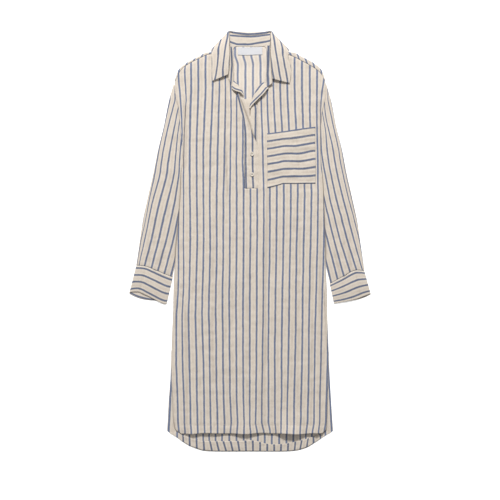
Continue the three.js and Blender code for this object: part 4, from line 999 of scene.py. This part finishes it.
def sleeve(left):
    line = sleeve_line(left)
    levels = STRIPES_RIGHT_SLEEVE if left else STRIPES_LEFT_SLEEVE
    shift = 0.0 if left else 0.07

    def top_z(s, t, x, y):
        w = np.sin(math.pi * clip01(t)) ** 0.75
        z = 1.55 + (0.6 + 3.1 * smooth((s * 8 + 0.6) / 3.0)) * w
        z = z - 0.35 * smooth((t - 0.72) / 0.28)
        for ta, sa, rise, wt, ws, slant in SLEEVE_WRINKLES:
            d = (t - ta - shift - slant * (s - sa) * 0.6) / wt
            z = z + rise * np.exp(-0.5 * d * d) * np.exp(-0.5 * ((s - sa) / ws) ** 2) * smooth(np.minimum(t, 1 - t) / 0.12)
        seam = np.exp(-((1 - s) / 0.012) ** 2) * 0.5 + np.exp(-(s / 0.01) ** 2) * 0.35
        return np.maximum(z - seam + (crinkle(x, y) + 0.2 * rumple(x, y)) * w, 1.15)

    def low_z(s, t, x, y):
        return 0.32 + 0.0 * s

    def u_of(s, t, x, y, kind):
        top_u = sleeve_u(levels, x, y)
        if kind in ("top",):
            return top_u, (241 - y) / PITCH
        edge_x, edge_y = line(s, np.full_like(s, 0.0 if kind == "out" else 1.0))
        sgn = -1.0 if left else 1.0
        # carry on round the edge onto the under layer
        ex0, ey0 = line(s, np.zeros_like(s))
        e0 = sleeve_u(levels, ex0, ey0)
        ex1, ey1 = line(s, np.ones_like(s))
        e1 = sleeve_u(levels, ex1, ey1)
        if kind == "out":
            return e0 - 0.05, (241 - y) / PITCH
        if kind == "in":
            return e1 + 0.05, (241 - y) / PITCH
        return e1 + 0.1 + (e1 - top_u), (241 - y) / PITCH

    # Painted shade along the sleeve's inner edge by the body, and a lighter painted shade along the armhole seam.
    def shade_of(s, t, kind):
        if kind in ("out", "low"):
            return 0.0 * s
        if kind == "in":
            t = np.ones_like(s)
        side = 0.60 * smooth((t - 0.962) / 0.034) * smooth((0.90 - s) / 0.10) * smooth((s - 0.02) / 0.10)
        return side + 0.22 * np.exp(-(s / 0.006) ** 2) * smooth(t / 0.1)

    name = "dress_sleeve_right" if left else "dress_sleeve_left"
    flat_tube(name, line, top_z, low_z, u_of, np.linspace(0, 1, 170), CLOTH_SLEEVE, flip=left, node="sleeve_right" if left else "sleeve_left", n_top=34, shade_of=shade_of)


sleeve(True)
sleeve(False)


def cuff(node):
    c = CUFFS[node]
    left = node == "cuff_right"

    def line(s, t):
        ax, ay = bend(c["top"], t)
        bx, by = bend(c["foot"], t)
        return lerp(ax, bx, s), lerp(ay + 0.12, by, s)

    def low_line(s, t):
        ax, ay = bend(c["top"], t)
        bx, by = bend(c["under"], t)
        return lerp(ax, bx, s), lerp(ay + 0.12, by, s)

    def top_z(s, t, x, y):
        w = np.sin(math.pi * clip01(t)) ** 0.7
        z = 1.75 - 0.5 * smooth((s - 0.6) / 0.4) + 2.5 * w * (1 - 0.62 * smooth((s - 0.4) / 0.6)) + 0.35 * np.sin(math.pi * s)
        z = z - 0.7 * np.exp(-((t - 0.27) / 0.03) ** 2) * smooth((s - 0.1) / 0.3) + 0.3 * np.exp(-((t - 0.36) / 0.05) ** 2)
        z = z - 0.35 * np.exp(-(s / 0.05) ** 2) + 0.25 * np.exp(-((1 - s) / 0.06) ** 2)
        return z + (0.5 * crinkle(x, y) + 0.2 * rumple(x, y)) * w

    def low_z(s, t, x, y):
        return 0.32 + 0.0 * s

    def u_of(s, t, x, y, kind):
        # stripes run round the cuff, four of them
        u = (s - 0.09) / 0.262 + 0.04 * np.sin(t * 5 + 1.0)
        if kind == "low":
            u = 3.22 - (1 - s) * 5.2 + 0.03 * np.sin(t * 5 + 1.0)
        per = t * 4.7 if kind != "low" else 9.4 - t * 4.7
        return u, per + 0 * s

    flat_tube("dress_" + node, line, top_z, low_z, u_of, np.linspace(0, 1, 34), CLOTH_TRIM,
              low_line=low_line, flip=left, node=node, n_top=60)


cuff("cuff_right")
cuff("cuff_left")


# ---- collar -----------------------------------------------------------------------------
def mirror_rows(T, end, xs):
    """The wearer's left half: its own end rows where given, else the mirror image."""
    n = len(T[xs[0]])
    out = {}
    for k, v in T.items():
        m = (500.0 - v) if k in xs else v.copy()
        if k in end:
            m[:len(end[k])] = end[k]
        out[k] = np.concatenate([v, m[::-1][1:]])
    return out


ST = mirror_rows(STAND, STAND_LEFT_END, ("seam_x", "roll_x"))
qn = len(ST["seam_x"]) - 1
q = np.linspace(0, qn, 480)[:, None]
t = np.linspace(0, 1, 41)[None, :]
SX = lerp(spline(ST["seam_x"], q), spline(ST["roll_x"], q), t)
SY = lerp(spline(ST["seam_y"], q), spline(ST["roll_y"], q), t)
SZ = lerp(spline(ST["seam_z"], q), spline(ST["roll_z"], q), t ** 0.9)
at_back = 1 - smooth(np.abs(q - qn / 2.0) / 2.6 - 0.15)
SZ = SZ + 0.35 * np.sin(math.pi * t) * at_back + 0.3 * crinkle(SX, SY)


def stand_u(x, y):
    """Two stripes run across behind the neck and one comes down each side."""
    upper = np.interp(x, [229, 240, 250, 260, 271], [35.4, 36.4, 36.8, 36.1, 34.5])
    lower = np.interp(x, [230.5, 236.8, 247.9, 259, 269.4], [42.3, 44.3, 44.7, 43.0, 41.2])
    across = steps(y, [upper - 2.2, upper - 0.85, upper + 0.85, lower - 0.95, lower + 0.95, lower + 3.4],
                   [-0.5, -0.125, 0.125, 0.875, 1.125, 1.6])
    left = (x - np.interp(y, [46, 49, 65, 82.5, 87], [230.9, 231.2, 231.9, 230.9, 230.2])) / 6.2
    right = (np.interp(y, [45, 57, 74, 87], [268.7, 268.3, 267.6, 268.2]) - x) / 9.5
    down = np.where(x < 250, left, right)
    corner = np.where(x < 250, 46.6, 45.2)
    side = smooth((np.abs(x - 250) - 12.6) / 1.2) * smooth((y - corner) / 0.9)
    return np.where(side > 0.5, down, across)


SU = stand_u(SX, SY)
SV = np.broadcast_to(q * 1.25, SU.shape)
shell("dress_collar_stand", world(SX, SY, SZ), np.stack([SU, SV], -1), CLOTH_TRIM, thick=0.6)
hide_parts("collar_stand")


def collar_leaf():
    rows_t = np.concatenate([np.linspace(0, 0.12, 11), np.linspace(0.12, 1, 34)[1:]])

    def wing(T, n_rows):
        q = np.linspace(0, len(T["roll_x"]) - 1, n_rows)[:, None]
        t = rows_t[None, :]
        x = lerp(spline(T["roll_x"], q), spline(T["out_x"], q), t)
        y = lerp(spline(T["roll_y"], q), spline(T["out_y"], q), t)
        z = lerp(spline(T["roll_z"], q), spline(T["out_z"], q), np.sqrt(t) * 0.30 + t * 0.70) + spline(T["swell"], q) * np.sin(math.pi * t) * 0.6
        # the roll is round
        z = z - 0.9 * (1 - clip01(t / 0.06)) ** 2 * smooth((len(T["roll_x"]) - 1 - q) / 1.2)
        s1, s2 = spline(T["s1"], q), spline(T["s2"], q)
        u = (t - s1) / (s2 - s1)
        z = z + 0.5 * crinkle(x, y) * smooth((len(T["roll_x"]) - 1 - q) / 1.0)
        v = -q * 1.35 + 0 * t
        return x, y, z, u, v

    XL, YL, ZL, UL, VL = wing(LEAF, 66)
    right = {k: ((500.0 - v) if k in ("roll_x", "out_x") else v.copy()) for k, v in LEAF.items()}
    for k, v in LEAF_LEFT_END.items():
        right[k][:len(v)] = v
    XR, YR, ZR, UR, VR = [a[::-1] for a in wing(right, 66)]
    # the fall behind the neck: rows from the stand's top, round the fold, down behind
    n = len(rows_t)

    def fall(x, fold):
        k = rows_t / 0.12
        front = clip01(k / 0.6)  # strip lying over the stand, then the round, then down behind
        turn = clip01((k - 0.6) / 0.4)
        d = clip01((rows_t - 0.12) / 0.88)
        side = min(1.0, abs(x - 250) / 20.0) ** 1.5
        wide, at = lerp(3.1, 2.2, side), lerp(1.95, 1.1, side)
        y = lerp(fold + wide, fold + 0.4, front) - 0.4 * np.sin(math.pi * turn)
        y = np.where(rows_t > 0.12, lerp(fold + 0.4, 51.0, d), y)
        z = np.where(rows_t > 0.12, 0.36, 0.36 + 1.45 * (1 + np.cos(math.pi * turn)))
        u = np.where(rows_t > 0.12, 0.2 + 1.95 * d, (fold + at - y) * 0.145)
        return np.full(n, x), y, z, u

    def corner(sign):
        k = rows_t / 0.12
        d = clip01((rows_t - 0.12) / 0.88)
        turn = clip01((k - 0.6) / 0.4)
        front = clip01(k / 0.6)
        x = np.where(rows_t > 0.12, lerp(230.6, 214.6, d), lerp(230.9, 230.4, front) - 0.3 * np.sin(math.pi * turn))
        y = np.where(rows_t > 0.12, lerp(31.4, 50.4, d), lerp(32.6, 31.4, front) - 0.4 * np.sin(math.pi * turn))
        z = np.where(rows_t > 0.12, 0.36, 0.36 + 1.4 * (1 + np.cos(math.pi * turn)))
        u = np.where(rows_t > 0.12, 0.2 + 1.95 * d, (32.0 - y) * 0.17)
        return (500 - x if sign > 0 else x), y, z, u

    pieces = []
    pieces.append(corner(-1))
    for x in np.linspace(233.5, 266.5, 34):
        pieces.append(fall(x, 32.3 - 1.5 * (abs(x - 250) / 20.0) ** 2.0))
    pieces.append(corner(1))
    XB, YB, ZB, UB = [np.array([p[k] for p in pieces]) for k in range(4)]
    VB = np.linspace(-8.2, -13.0, len(pieces))[:, None] + 0 * XB
    X = np.concatenate([XL, XB, XR])
    Y = np.concatenate([YL, YB, YR])
    Z = np.concatenate([ZL, ZB, ZR])
    U_ = np.concatenate([UL, UB, UR])
    V_ = np.concatenate([VL, VB, -21.0 - VR])
    return X, Y, Z, U_, V_


X, Y, Z, U_, V_ = collar_leaf()
shell("dress_collar_leaf", world(X, Y, Z), np.stack([U_, V_], -1), CLOTH_TRIM, thick=0.75)
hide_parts("collar_leaf")


# ---- front bands ---------------------------------------------------------------------------
def lapel_rows(T, n, dive, cols=22):
    q = np.linspace(0, len(T["roll_x"]) - 1, n)[:, None]
    rx, ry, rz = [spline(T[k], q) for k in ("roll_x", "roll_y", "roll_z")]
    fx, fy, fz = [spline(T[k], q) for k in ("free_x", "free_y", "free_z")]
    dx, dy = fx - rx, fy - ry
    l = np.hypot(dx, dy)
    # across: hidden layer, half round roll, turned face
    w = np.concatenate([np.linspace(-1, 0, 7)[:-1], np.linspace(0, 1, 8)[:-1], np.linspace(1, 2, cols)])[None, :]
    r = 0.40
    drop = 1.7
    hid = clip01(-w)
    turn = clip01(w)
    face = clip01(w - 1)
    dist = np.where(w < 0, r + np.minimum(dive, l * 0.8) * hid, np.where(w < 1, r * (1 - np.sin(math.pi * turn)), r + (l - r) * face))
    z = np.where(w < 0, rz - drop - np.maximum(rz - drop - 4.6, 0) * hid, np.where(w < 1, rz - drop * (1 + np.cos(math.pi * turn)) / 2, lerp(rz, fz, face ** 1.2)))
    z = z + np.where(w > 1, 0.8 * np.sin(math.pi * face) * np.minimum(l / 6.0, 1), 0)
    x, y = rx + dx / l * dist, ry + dy / l * dist
    u = (l - dist - 1.9) / 5.7
    v = q * 1.1 + 0 * w
    z = z + 0.25 * crinkle(x, y)
    return x, y, z, u, v


def band_grid(T, n_rows, n_cols, z_of, u_of):
    q = np.linspace(0, len(T["y"]) - 1, n_rows)[:, None]
    t = np.linspace(0, 1, n_cols)[None, :]
    l, r, y = spline(T["left"], q), spline(T["right"], q), spline(T["y"], q)
    x = lerp(l, r, t)
    y = y + 0 * t
    return x, y, z_of(x, y, l, r, t), u_of(x, y, l, r), (241 - y) / PITCH


def over_z(x, y, l, r, t):
    d = np.minimum(x - l, (r - x) * 0.7)
    base = lerp(front_z(l, y), front_z(np.full_like(l, 258.4), y), clip01((x - l) / 13.6))
    foot = smooth((188.6 - y) / 1.5)
    free = smooth((142.0 - y) / 6.0) * smooth((y - 90.0) / 6.0)  # above the last button the edge stands off
    lift = 1.5 * free * np.exp(-((r - x) / 1.6) ** 2)
    return base + 0.25 - 0.35 * smooth((y - 187.0) / 1.4) + 0.55 * rounded(d, 0.9) * (0.4 + 0.6 * foot) + 0.30 * crinkle_small(x, y) * 0.5 + 0.5 * smooth((120 - y) / 30.0) + lift


def under_z(x, y, l, r, t):
    base = front_z(np.full_like(l, 244.4), y) * 0.35 + front_z(np.full_like(l, 257.6), y) * 0.65
    crease = 2.4 * np.exp(-((x - 250.1) / 0.6) ** 2) * smooth((y - 106.5) / 2.0) * smooth((118.5 - y) / 4.0)
    over = read(y, BAND_OVER["y"], BAND_OVER["right"])
    gap = 2.8 * np.exp(-((x - over - 0.15) / 0.8) ** 2) * smooth((143.0 - y) / 5.0)
    z = base - 1.15 + 0.55 * clip01((x - l) / 12.0) ** 2 + 0.12 * crinkle(x, y) - crease - gap - 0.8 * smooth((103.0 - y) / 4.0)
    return np.maximum(z, 0.95)




def over_u(x, y, l, r):
    d = x - l
    return (d - lerp(0.7, 1.1, smooth((y - 100) / 14.0))) / 6.9


x, y, z, u, v = band_grid(BAND_OVER, 190, 33, over_z, over_u)
edge = read(y, BAND_OVER["y"], BAND_OVER["right"])
# Painted shade along the over band's turned free edge above the buttons.
edge_shade = 0.85 * smooth((143.0 - y) / 7.0) * np.exp(-np.maximum(edge - x, 0) / 0.42)
shell("dress_placket_over", world(x, y, z), np.stack([u, v], -1), CLOTH_TRIM, thick=0.7, fold=edge_shade)
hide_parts("placket_over")
OVER = (x, y, z)
x, y, z, u, v = band_grid(BAND_UNDER, 190, 45, under_z, lambda x, y, l, r: (r - x - 1.5) / np.where(r - x > 4.0, 15.5, 7.0))
edge = read(y, BAND_OVER["y"], BAND_OVER["right"])
# Painted shade on the under band: beside the over band's turned edge, and a dark crease at the foot of the V.
edge_shade = 0.75 * smooth((143.0 - y) / 7.0) * np.exp(-np.maximum(x - edge, 0) / 0.40)
v_crease_shade = 0.85 * np.exp(-((x - 250.2) / 0.45) ** 2) * smooth((y - 105.0) / 3.0) * smooth((118.0 - y) / 6.0)
shell("dress_placket_under", world(x, y, z), np.stack([u, v], -1), CLOTH_TRIM, thick=0.6, fold=np.maximum(edge_shade, v_crease_shade))
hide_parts("placket_under")
x, y, z, u, v = lapel_rows(LAPEL_UNDER, 70, 2.6)
shell("dress_lapel_left", world(x, y, z), np.stack([u, v], -1), CLOTH_TRIM, thick=0.7)
x, y, z, u, v = lapel_rows(LAPEL_OVER, 50, 2.2)
shell("dress_lapel_right", world(x, y, z), np.stack([u, v], -1), CLOTH_TRIM, thick=0.7, up=True)

# ---- pocket and label ------------------------------------------------------------------------
tu, tv = np.linspace(0, 1, 61)[None, :], np.linspace(0, 1, 66)[:, None]
px = lerp(267.3, 315.4, tu) + 0.25 * np.sin(tv * 6.0) * (2 * np.abs(tu - 0.5)) ** 3
ptop = lerp(133.4, 126.9, smooth(tu) * 0.35 + tu * 0.65)
pfoot = np.interp(tu, [0, 0.12, 0.33, 1], [188.0, 186.8, 183.9, 183.7])
py = lerp(pfoot, ptop, tv)
pd = np.minimum(np.minimum(tu, 1 - tu) * 48.0, np.minimum(tv, 1 - tv) * 56.0)
pz = front_z(px + 0 * py, py) + 0.62 + 0.35 * rounded(pd, 0.8) - 0.28 * np.exp(-((pd - 1.4) / 0.35) ** 2) + 0.22 * crinkle_cross(px + 0 * py, py)
pz = pz + 0.5 * np.exp(-((tv - 1.0) / 0.03) ** 2) + 0.35 * np.exp(-((tv - 0.5) / 0.2) ** 2) * np.sin(math.pi * tu)
PX = px + 0 * py
wave = (0.30 * np.sin(tu * 6.3 + 0.6) + 0.12 * np.sin(tu * 13.0 + tv * 4.0)) * np.sin(math.pi * clip01(tv * 1.0)) * 0.8
pu = (py - ptop) / 7.75 * (56.0 / np.maximum(pfoot - ptop, 1) * 0.985) * 1.0
pu = (py - ptop) / (pfoot - ptop) * 7.03 - 0.04 + wave * 0.35
shell("dress_chest_pocket", world(PX, py, pz), np.stack([pu, PX / PITCH], -1), CLOTH_TRIM, thick=0.6)
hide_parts("chest_pocket")

lu, lv = np.linspace(0, 1, 37)[None, :], np.linspace(0, 1, 13)[:, None]
lx_, ly_ = lerp(237.8, 262.4, lu) + 0 * lv, lerp(55.3, 47.3, lv) + 0.25 * np.sin(lu * 5.0) + 0 * lv
lz = back_z(lx_, np.full_like(lx_, 50.0)) + 0.55 + 0.18 * np.sin(lu * 9.0) * np.sin(lv * 3.0)
shell("dress_neck_label", world(lx_, ly_, lz), np.stack([lu * 3.4 + 0 * lv, lv * 0.98 + 0.01 + 0 * lu], -1), LABEL, thick=0.35)
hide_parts("neck_label")


# ---- buttons -----------------------------------------------------------------------------------
def button(name, node, bx, by):
    cx, cy = (bx - 250) * UNIT, (241 - by) * UNIT
    z0 = float(np.interp(by, OVER[1][::-1, 18], OVER[2][::-1, 18])) * 0.001 + 0.00035
    R = 0.0058
    prof = [(0.0, 0.0), (0.82, 0.0), (0.95, 0.08), (1.0, 0.18), (0.985, 0.27), (0.93, 0.34), (0.84, 0.36), (0.76, 0.33),
            (0.70, 0.28), (0.62, 0.25), (0.45, 0.24), (0.25, 0.235), (0.0, 0.23)]
    n = 56
    V, F = [], []
    rings = []
    for r, h in prof:
        if r == 0.0:
            rings.append([len(V)])
            V.append((cx, cy, z0 + h * R))
        else:
            rings.append(list(range(len(V), len(V) + n)))
            for k in range(n):
                a = 2 * math.pi * k / n
                V.append((cx + R * r * math.cos(a), cy + R * r * math.sin(a), z0 + h * R))
    for a, b in zip(rings, rings[1:]):
        for k in range(n):
            if len(a) == 1:
                F.append((a[0], b[(k + 1) % n], b[k]))
            elif len(b) == 1:
                F.append((a[k], a[(k + 1) % n], b[0]))
            else:
                F.append((a[k], a[(k + 1) % n], b[(k + 1) % n], b[k]))
    o = plain_mesh(name, V, F, PEARL)
    # four holes
    cutV, cutF = [], []
    for hx, hy in ((1, 1), (-1, 1), (-1, -1), (1, -1)):
        base = len(cutV)
        m = 14
        for z in (z0 - 0.001, z0 + 0.004):
            for k in range(m):
                a = 2 * math.pi * k / m
                cutV.append((cx + hx * 0.00115 + 0.00058 * math.cos(a), cy + hy * 0.00115 + 0.00058 * math.sin(a), z))
        for k in range(m):
            cutF.append((base + k, base + (k + 1) % m, base + m + (k + 1) % m, base + m + k))
        cutF.append(tuple(base + k for k in range(m))[::-1])
        cutF.append(tuple(base + m + k for k in range(m)))
    cm = bpy.data.meshes.new("cut")
    cm.from_pydata(cutV, [], cutF)
    cut = bpy.data.objects.new("cut", cm)
    bpy.context.scene.collection.objects.link(cut)
    mod = o.modifiers.new("holes", "BOOLEAN")
    mod.object = cut
    mod.operation = "DIFFERENCE"
    mod.solver = "EXACT"
    bpy.context.view_layer.update()
    done = bpy.data.meshes.new_from_object(o.evaluated_get(bpy.context.evaluated_depsgraph_get()))
    o.modifiers.clear()
    o.data = done
    if not done.materials:
        done.materials.append(PEARL)
    bpy.data.objects.remove(cut)
    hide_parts(node)
    # crossing thread through the holes
    V, F = [], []
    for (ax, ay), (bx_, by_), lift in (((-1, -1), (1, 1), 0.00028), ((-1, 1), (1, -1), 0.00052)):
        steps, m = 12, 8
        base = len(V)
        for s in range(steps + 1):
            f = s / steps
            px_, py_ = lerp(ax, bx_, f) * 0.00115 + cx, lerp(ay, by_, f) * 0.00115 + cy
            end = abs(2 * f - 1)
            pz_ = z0 + 0.24 * R + lift * (1 - end ** 4) - 0.0007 * (end ** 10)
            d = Vector((bx_ - ax, by_ - ay, 0)).normalized()
            side = Vector((-d.y, d.x, 0))
            for k in range(m):
                a = 2 * math.pi * k / m
                w = side * (0.00052 * math.cos(a)) + Vector((0, 0, 0.00022 * math.sin(a)))
                V.append((px_ + w.x, py_ + w.y, pz_ + w.z))
        for s in range(steps):
            for k in range(m):
                F.append((base + s * m + k, base + s * m + (k + 1) % m, base + (s + 1) * m + (k + 1) % m, base + (s + 1) * m + k))
        F.append(tuple(base + k for k in range(m))[::-1])
        F.append(tuple(base + steps * m + k for k in range(m)))
    plain_mesh(name + "_thread", V, F, THREAD_DARK)


button("dress_button_upper", "button_upper", 252.1, 154.0)
button("dress_button_lower", "button_lower", 252.1, 174.5)

# ---- stitching ------------------------------------------------------------------------------------
STITCH_V, STITCH_F = [], []


def stitches(path, normal, length=2.3, gap=0.9, width=0.42, lift=0.12):
    """Short sewn stitches along a path of points, standing a little proud."""
    path, normal = np.asarray(path), np.asarray(normal)
    seg = np.linalg.norm(np.diff(path, axis=0), axis=1)
    run = np.concatenate([[0], np.cumsum(seg)]) * 1000.0
    at = 0.3
    while at + length < run[-1]:
        pts, nn = [], []
        for f in (0.0, 0.25, 0.5, 0.75, 1.0):
            d = at + length * f
            pts.append([np.interp(d, run, path[:, k]) for k in range(3)])
            nn.append([np.interp(d, run, normal[:, k]) for k in range(3)])
        pts, nn = np.array(pts), np.array(nn)
        nn /= np.maximum(np.linalg.norm(nn, axis=1, keepdims=True), 1e-9)
        d = pts[-1] - pts[0]
        d /= max(np.linalg.norm(d), 1e-9)
        side = np.cross(nn, d)
        h = np.array([-0.10, 0.7, 1.0, 0.7, -0.10]) * lift * 0.001
        w = np.array([0.35, 0.9, 1.0, 0.9, 0.35]) * width * 0.0005
        base = len(STITCH_V)
        for k in range(5):
            c = pts[k] + nn[k] * h[k]
            for a in range(6):
                ang = math.pi * a / 3
                STITCH_V.append(tuple(c + side[k] * w[k] * math.cos(ang) + nn[k] * w[k] * 0.8 * math.sin(ang)))
        for k in range(4):
            for a in range(6):
                STITCH_F.append((base + k * 6 + a, base + k * 6 + (a + 1) % 6, base + (k + 1) * 6 + (a + 1) % 6, base + (k + 1) * 6 + a))
        STITCH_F.append(tuple(base + a for a in range(6))[::-1])
        STITCH_F.append(tuple(base + 24 + a for a in range(6)))
        at += length + gap


def on_shell(name, gi, gj, out=1.0):
    """Points on a shell's upper face at fractional grid rows and columns."""
    P, n, live = SHELLS[name]
    gi = np.clip(np.asarray(gi, float), 0, P.shape[0] - 1.001)
    gj = np.clip(np.asarray(gj, float), 0, P.shape[1] - 1.001)
    i, j = gi.astype(int), gj.astype(int)
    u, v = (gi - i)[:, None], (gj - j)[:, None]

    def get(A):
        return (A[i, j] * (1 - v) + A[i, j + 1] * v) * (1 - u) + (A[i + 1, j] * (1 - v) + A[i + 1, j + 1] * v) * u
    N = get(n)
    N = N * np.where(N[:, 2:3] < 0, -1.0, 1.0)
    return get(P) + N * out * 0.00032, N * out


def column_line(name, col, i0=0.0, i1=None):
    P = SHELLS[name][0]
    i1 = P.shape[0] - 1 if i1 is None else i1
    gi = np.linspace(i0, i1, max(8, int(abs(i1 - i0))))
    return on_shell(name, gi, np.full_like(gi, col))


def row_line(name, row, j0=0.0, j1=None):
    P = SHELLS[name][0]
    j1 = P.shape[1] - 1 if j1 is None else j1
    gj = np.linspace(j0, j1, max(8, int(abs(j1 - j0))))
    return on_shell(name, np.full_like(gj, row), gj)


stitches(*column_line("dress_placket_over", 1.1, 1, 150))
stitches(*column_line("dress_placket_over", 29.8, 1, 105))
stitches(*row_line("dress_placket_over", 3.6, 1, 31))
stitches(*row_line("dress_placket_over", 16.0, 1, 31))
stitches(*column_line("dress_chest_pocket", 1.6, 1, 64))
stitches(*column_line("dress_chest_pocket", 58.4, 1, 64))
stitches(*row_line("dress_chest_pocket", 1.6, 1.6, 58.4))
stitches(*row_line("dress_chest_pocket", 55.0, 1.6, 58.4))
P = SHELLS["dress_front"][0]
hem_row = float(np.interp(424.6, FY[:, 60][::-1], np.arange(FY.shape[0])[::-1]))
stitches(*row_line("dress_front", hem_row, 2, P.shape[1] - 3))
stitches(*row_line("dress_collar_leaf", 2.5, 1, 32), lift=0.1)
stitches(*column_line("dress_collar_leaf", 32.2, 1, 56), lift=0.1)
nleaf = SHELLS["dress_collar_leaf"][0].shape[0]
stitches(*row_line("dress_collar_leaf", nleaf - 3.5, 1, 32), lift=0.1)
stitches(*column_line("dress_collar_leaf", 32.2, nleaf - 57, nleaf - 2), lift=0.1)
for side in ("right", "left"):
    stitches(*row_line("dress_cuff_" + side, 1.6, 2, 58))
    stitches(*row_line("dress_cuff_" + side, 31.6, 2, 58))
stitches(*row_line("dress_back_facing", 7.2, 1, 119))
stitches(*row_line("dress_neck_label", 11.4, 1, 35), length=1.6, gap=0.6, width=0.3)
stitches(*row_line("dress_neck_label", 0.8, 1, 35), length=1.6, gap=0.6, width=0.3)


def bar_tack(x, y):
    """A short dense tack at the end of a pocket opening in the side seam."""
    n = 9
    for k in range(n):
        yy = y - 0.9 + 1.8 * k / (n - 1)
        xs = np.linspace(x - 0.55, x + 0.55, 6)
        ys = np.full(6, yy) + np.linspace(-0.06, 0.06, 6)
        stitches(world(xs, ys, front_z(xs, ys) + 0.32), np.tile([0.0, 0.0, 1.0], (6, 1)), length=2.4, gap=9.0, width=0.6, lift=0.3)


for bx_, by_ in ((176.9, 288.6), (175.0, 327.0), (324.2, 295.4), (325.8, 337.0)):
    bar_tack(bx_, by_)
STITCH = plain_mesh("dress_stitching", STITCH_V, STITCH_F, THREAD)


def surface(name):
    P, n, live = SHELLS[name]
    a = np.linalg.norm(np.cross(P[:-1, 1:] - P[:-1, :-1], P[1:, :-1] - P[:-1, :-1]), axis=-1) / 2
    b = np.linalg.norm(np.cross(P[:-1, 1:] - P[1:, 1:], P[1:, :-1] - P[1:, 1:]), axis=-1) / 2
    return float(((a + b) * live).sum())


CUT = {  # piece: width and length of the rectangle it is cut from
    "dress_back": (0.480, 1.150), "dress_front": (0.480, 1.090), "dress_back_facing": (0.040, 0.440),
    "dress_sleeve_right": (0.225, 0.520), "dress_sleeve_left": (0.225, 0.500),
    "dress_cuff_right": (0.083, 0.240), "dress_cuff_left": (0.083, 0.230),
    "dress_collar_stand": (0.036, 0.400), "dress_collar_leaf": (0.062, 0.420),
    "dress_placket_over": (0.036, 0.290), "dress_placket_under": (0.036, 0.270),
    "dress_lapel_left": (0.050, 0.110), "dress_lapel_right": (0.030, 0.062),
    "dress_chest_pocket": (0.136, 0.158), "dress_neck_label": (0.069, 0.021)}
for name, (w, l) in CUT.items():
    real = surface(name)
    print("area", name, round(real, 4), "of", round(w * l, 4), "tris", len(PIECES[name].data.polygons) * 2)

# ---- studio --------------------------------------------------------------------------------------
floor_mesh = bpy.data.meshes.new("studio_floor")
S = 6.0
floor_mesh.from_pydata([(-S, -S, -0.0004), (S, -S, -0.0004), (S, S, -0.0004), (-S, S, -0.0004)], [], [(0, 1, 2, 3)])
floor = bpy.data.objects.new("studio_floor", floor_mesh)
bpy.context.scene.collection.objects.link(floor)
fg = Graph("studio_floor")
fn = object_noise(fg, 2.0, 2.0)
fg.link(fg.mix(fn, (0.93, 0.93, 0.93), (0.95, 0.95, 0.95)), fg.bsdf.inputs["Base Color"])
fg.bsdf.inputs["Roughness"].default_value = 0.9
fg.bsdf.inputs["Emission Color"].default_value = (1.0, 1.0, 1.0, 1.0)
fg.bsdf.inputs["Emission Strength"].default_value = 0.35
fg.bsdf.inputs["Specular IOR Level"].default_value = 0.1
floor_mesh.materials.append(fg.mat)

w = bpy.data.worlds.new("studio")
bpy.context.scene.world = w
w.use_nodes = True
bg = w.node_tree.nodes["Background"]
bg.inputs[0].default_value = (1.0, 1.0, 1.0, 1.0)
bg.inputs[1].default_value = 0.37


def area(name, at, to, size, power, colour=(1, 1, 1)):
    d = bpy.data.lights.new(name, "AREA")
    d.shape = "RECTANGLE"
    d.size, d.size_y = size
    d.energy = power
    d.color = colour
    o = bpy.data.objects.new(name, d)
    bpy.context.scene.collection.objects.link(o)
    o.location = at
    o.rotation_euler = (Vector(to) - Vector(at)).to_track_quat("-Z", "Y").to_euler()
    return o


area("key", (-0.42, 4.5, 3.6), (0.0, 0.06, 0.0), (1.6, 1.0), 402.0)
area("fill", (-1.2, -0.8, 2.4), (0.0, 0.0, 0.0), (2.0, 2.0), 4.0)

cam_data = bpy.data.cameras.new("camera")
cam_data.lens = 100.0
cam_data.sensor_width = 36.0
cam_data.clip_end = 50.0
cam = bpy.data.objects.new("camera", cam_data)
bpy.context.scene.collection.objects.link(cam)
cam.location = (0.0, -0.0252, 3.889)
cam.rotation_euler = (0.0, 0.0, 0.0)
bpy.context.scene.camera = cam
bpy.context.scene.view_settings.view_transform = "Standard"
bpy.context.scene.view_settings.look = "None"
bpy.context.scene.view_settings.exposure = 0.0
bpy.context.scene.view_settings.gamma = 1.0
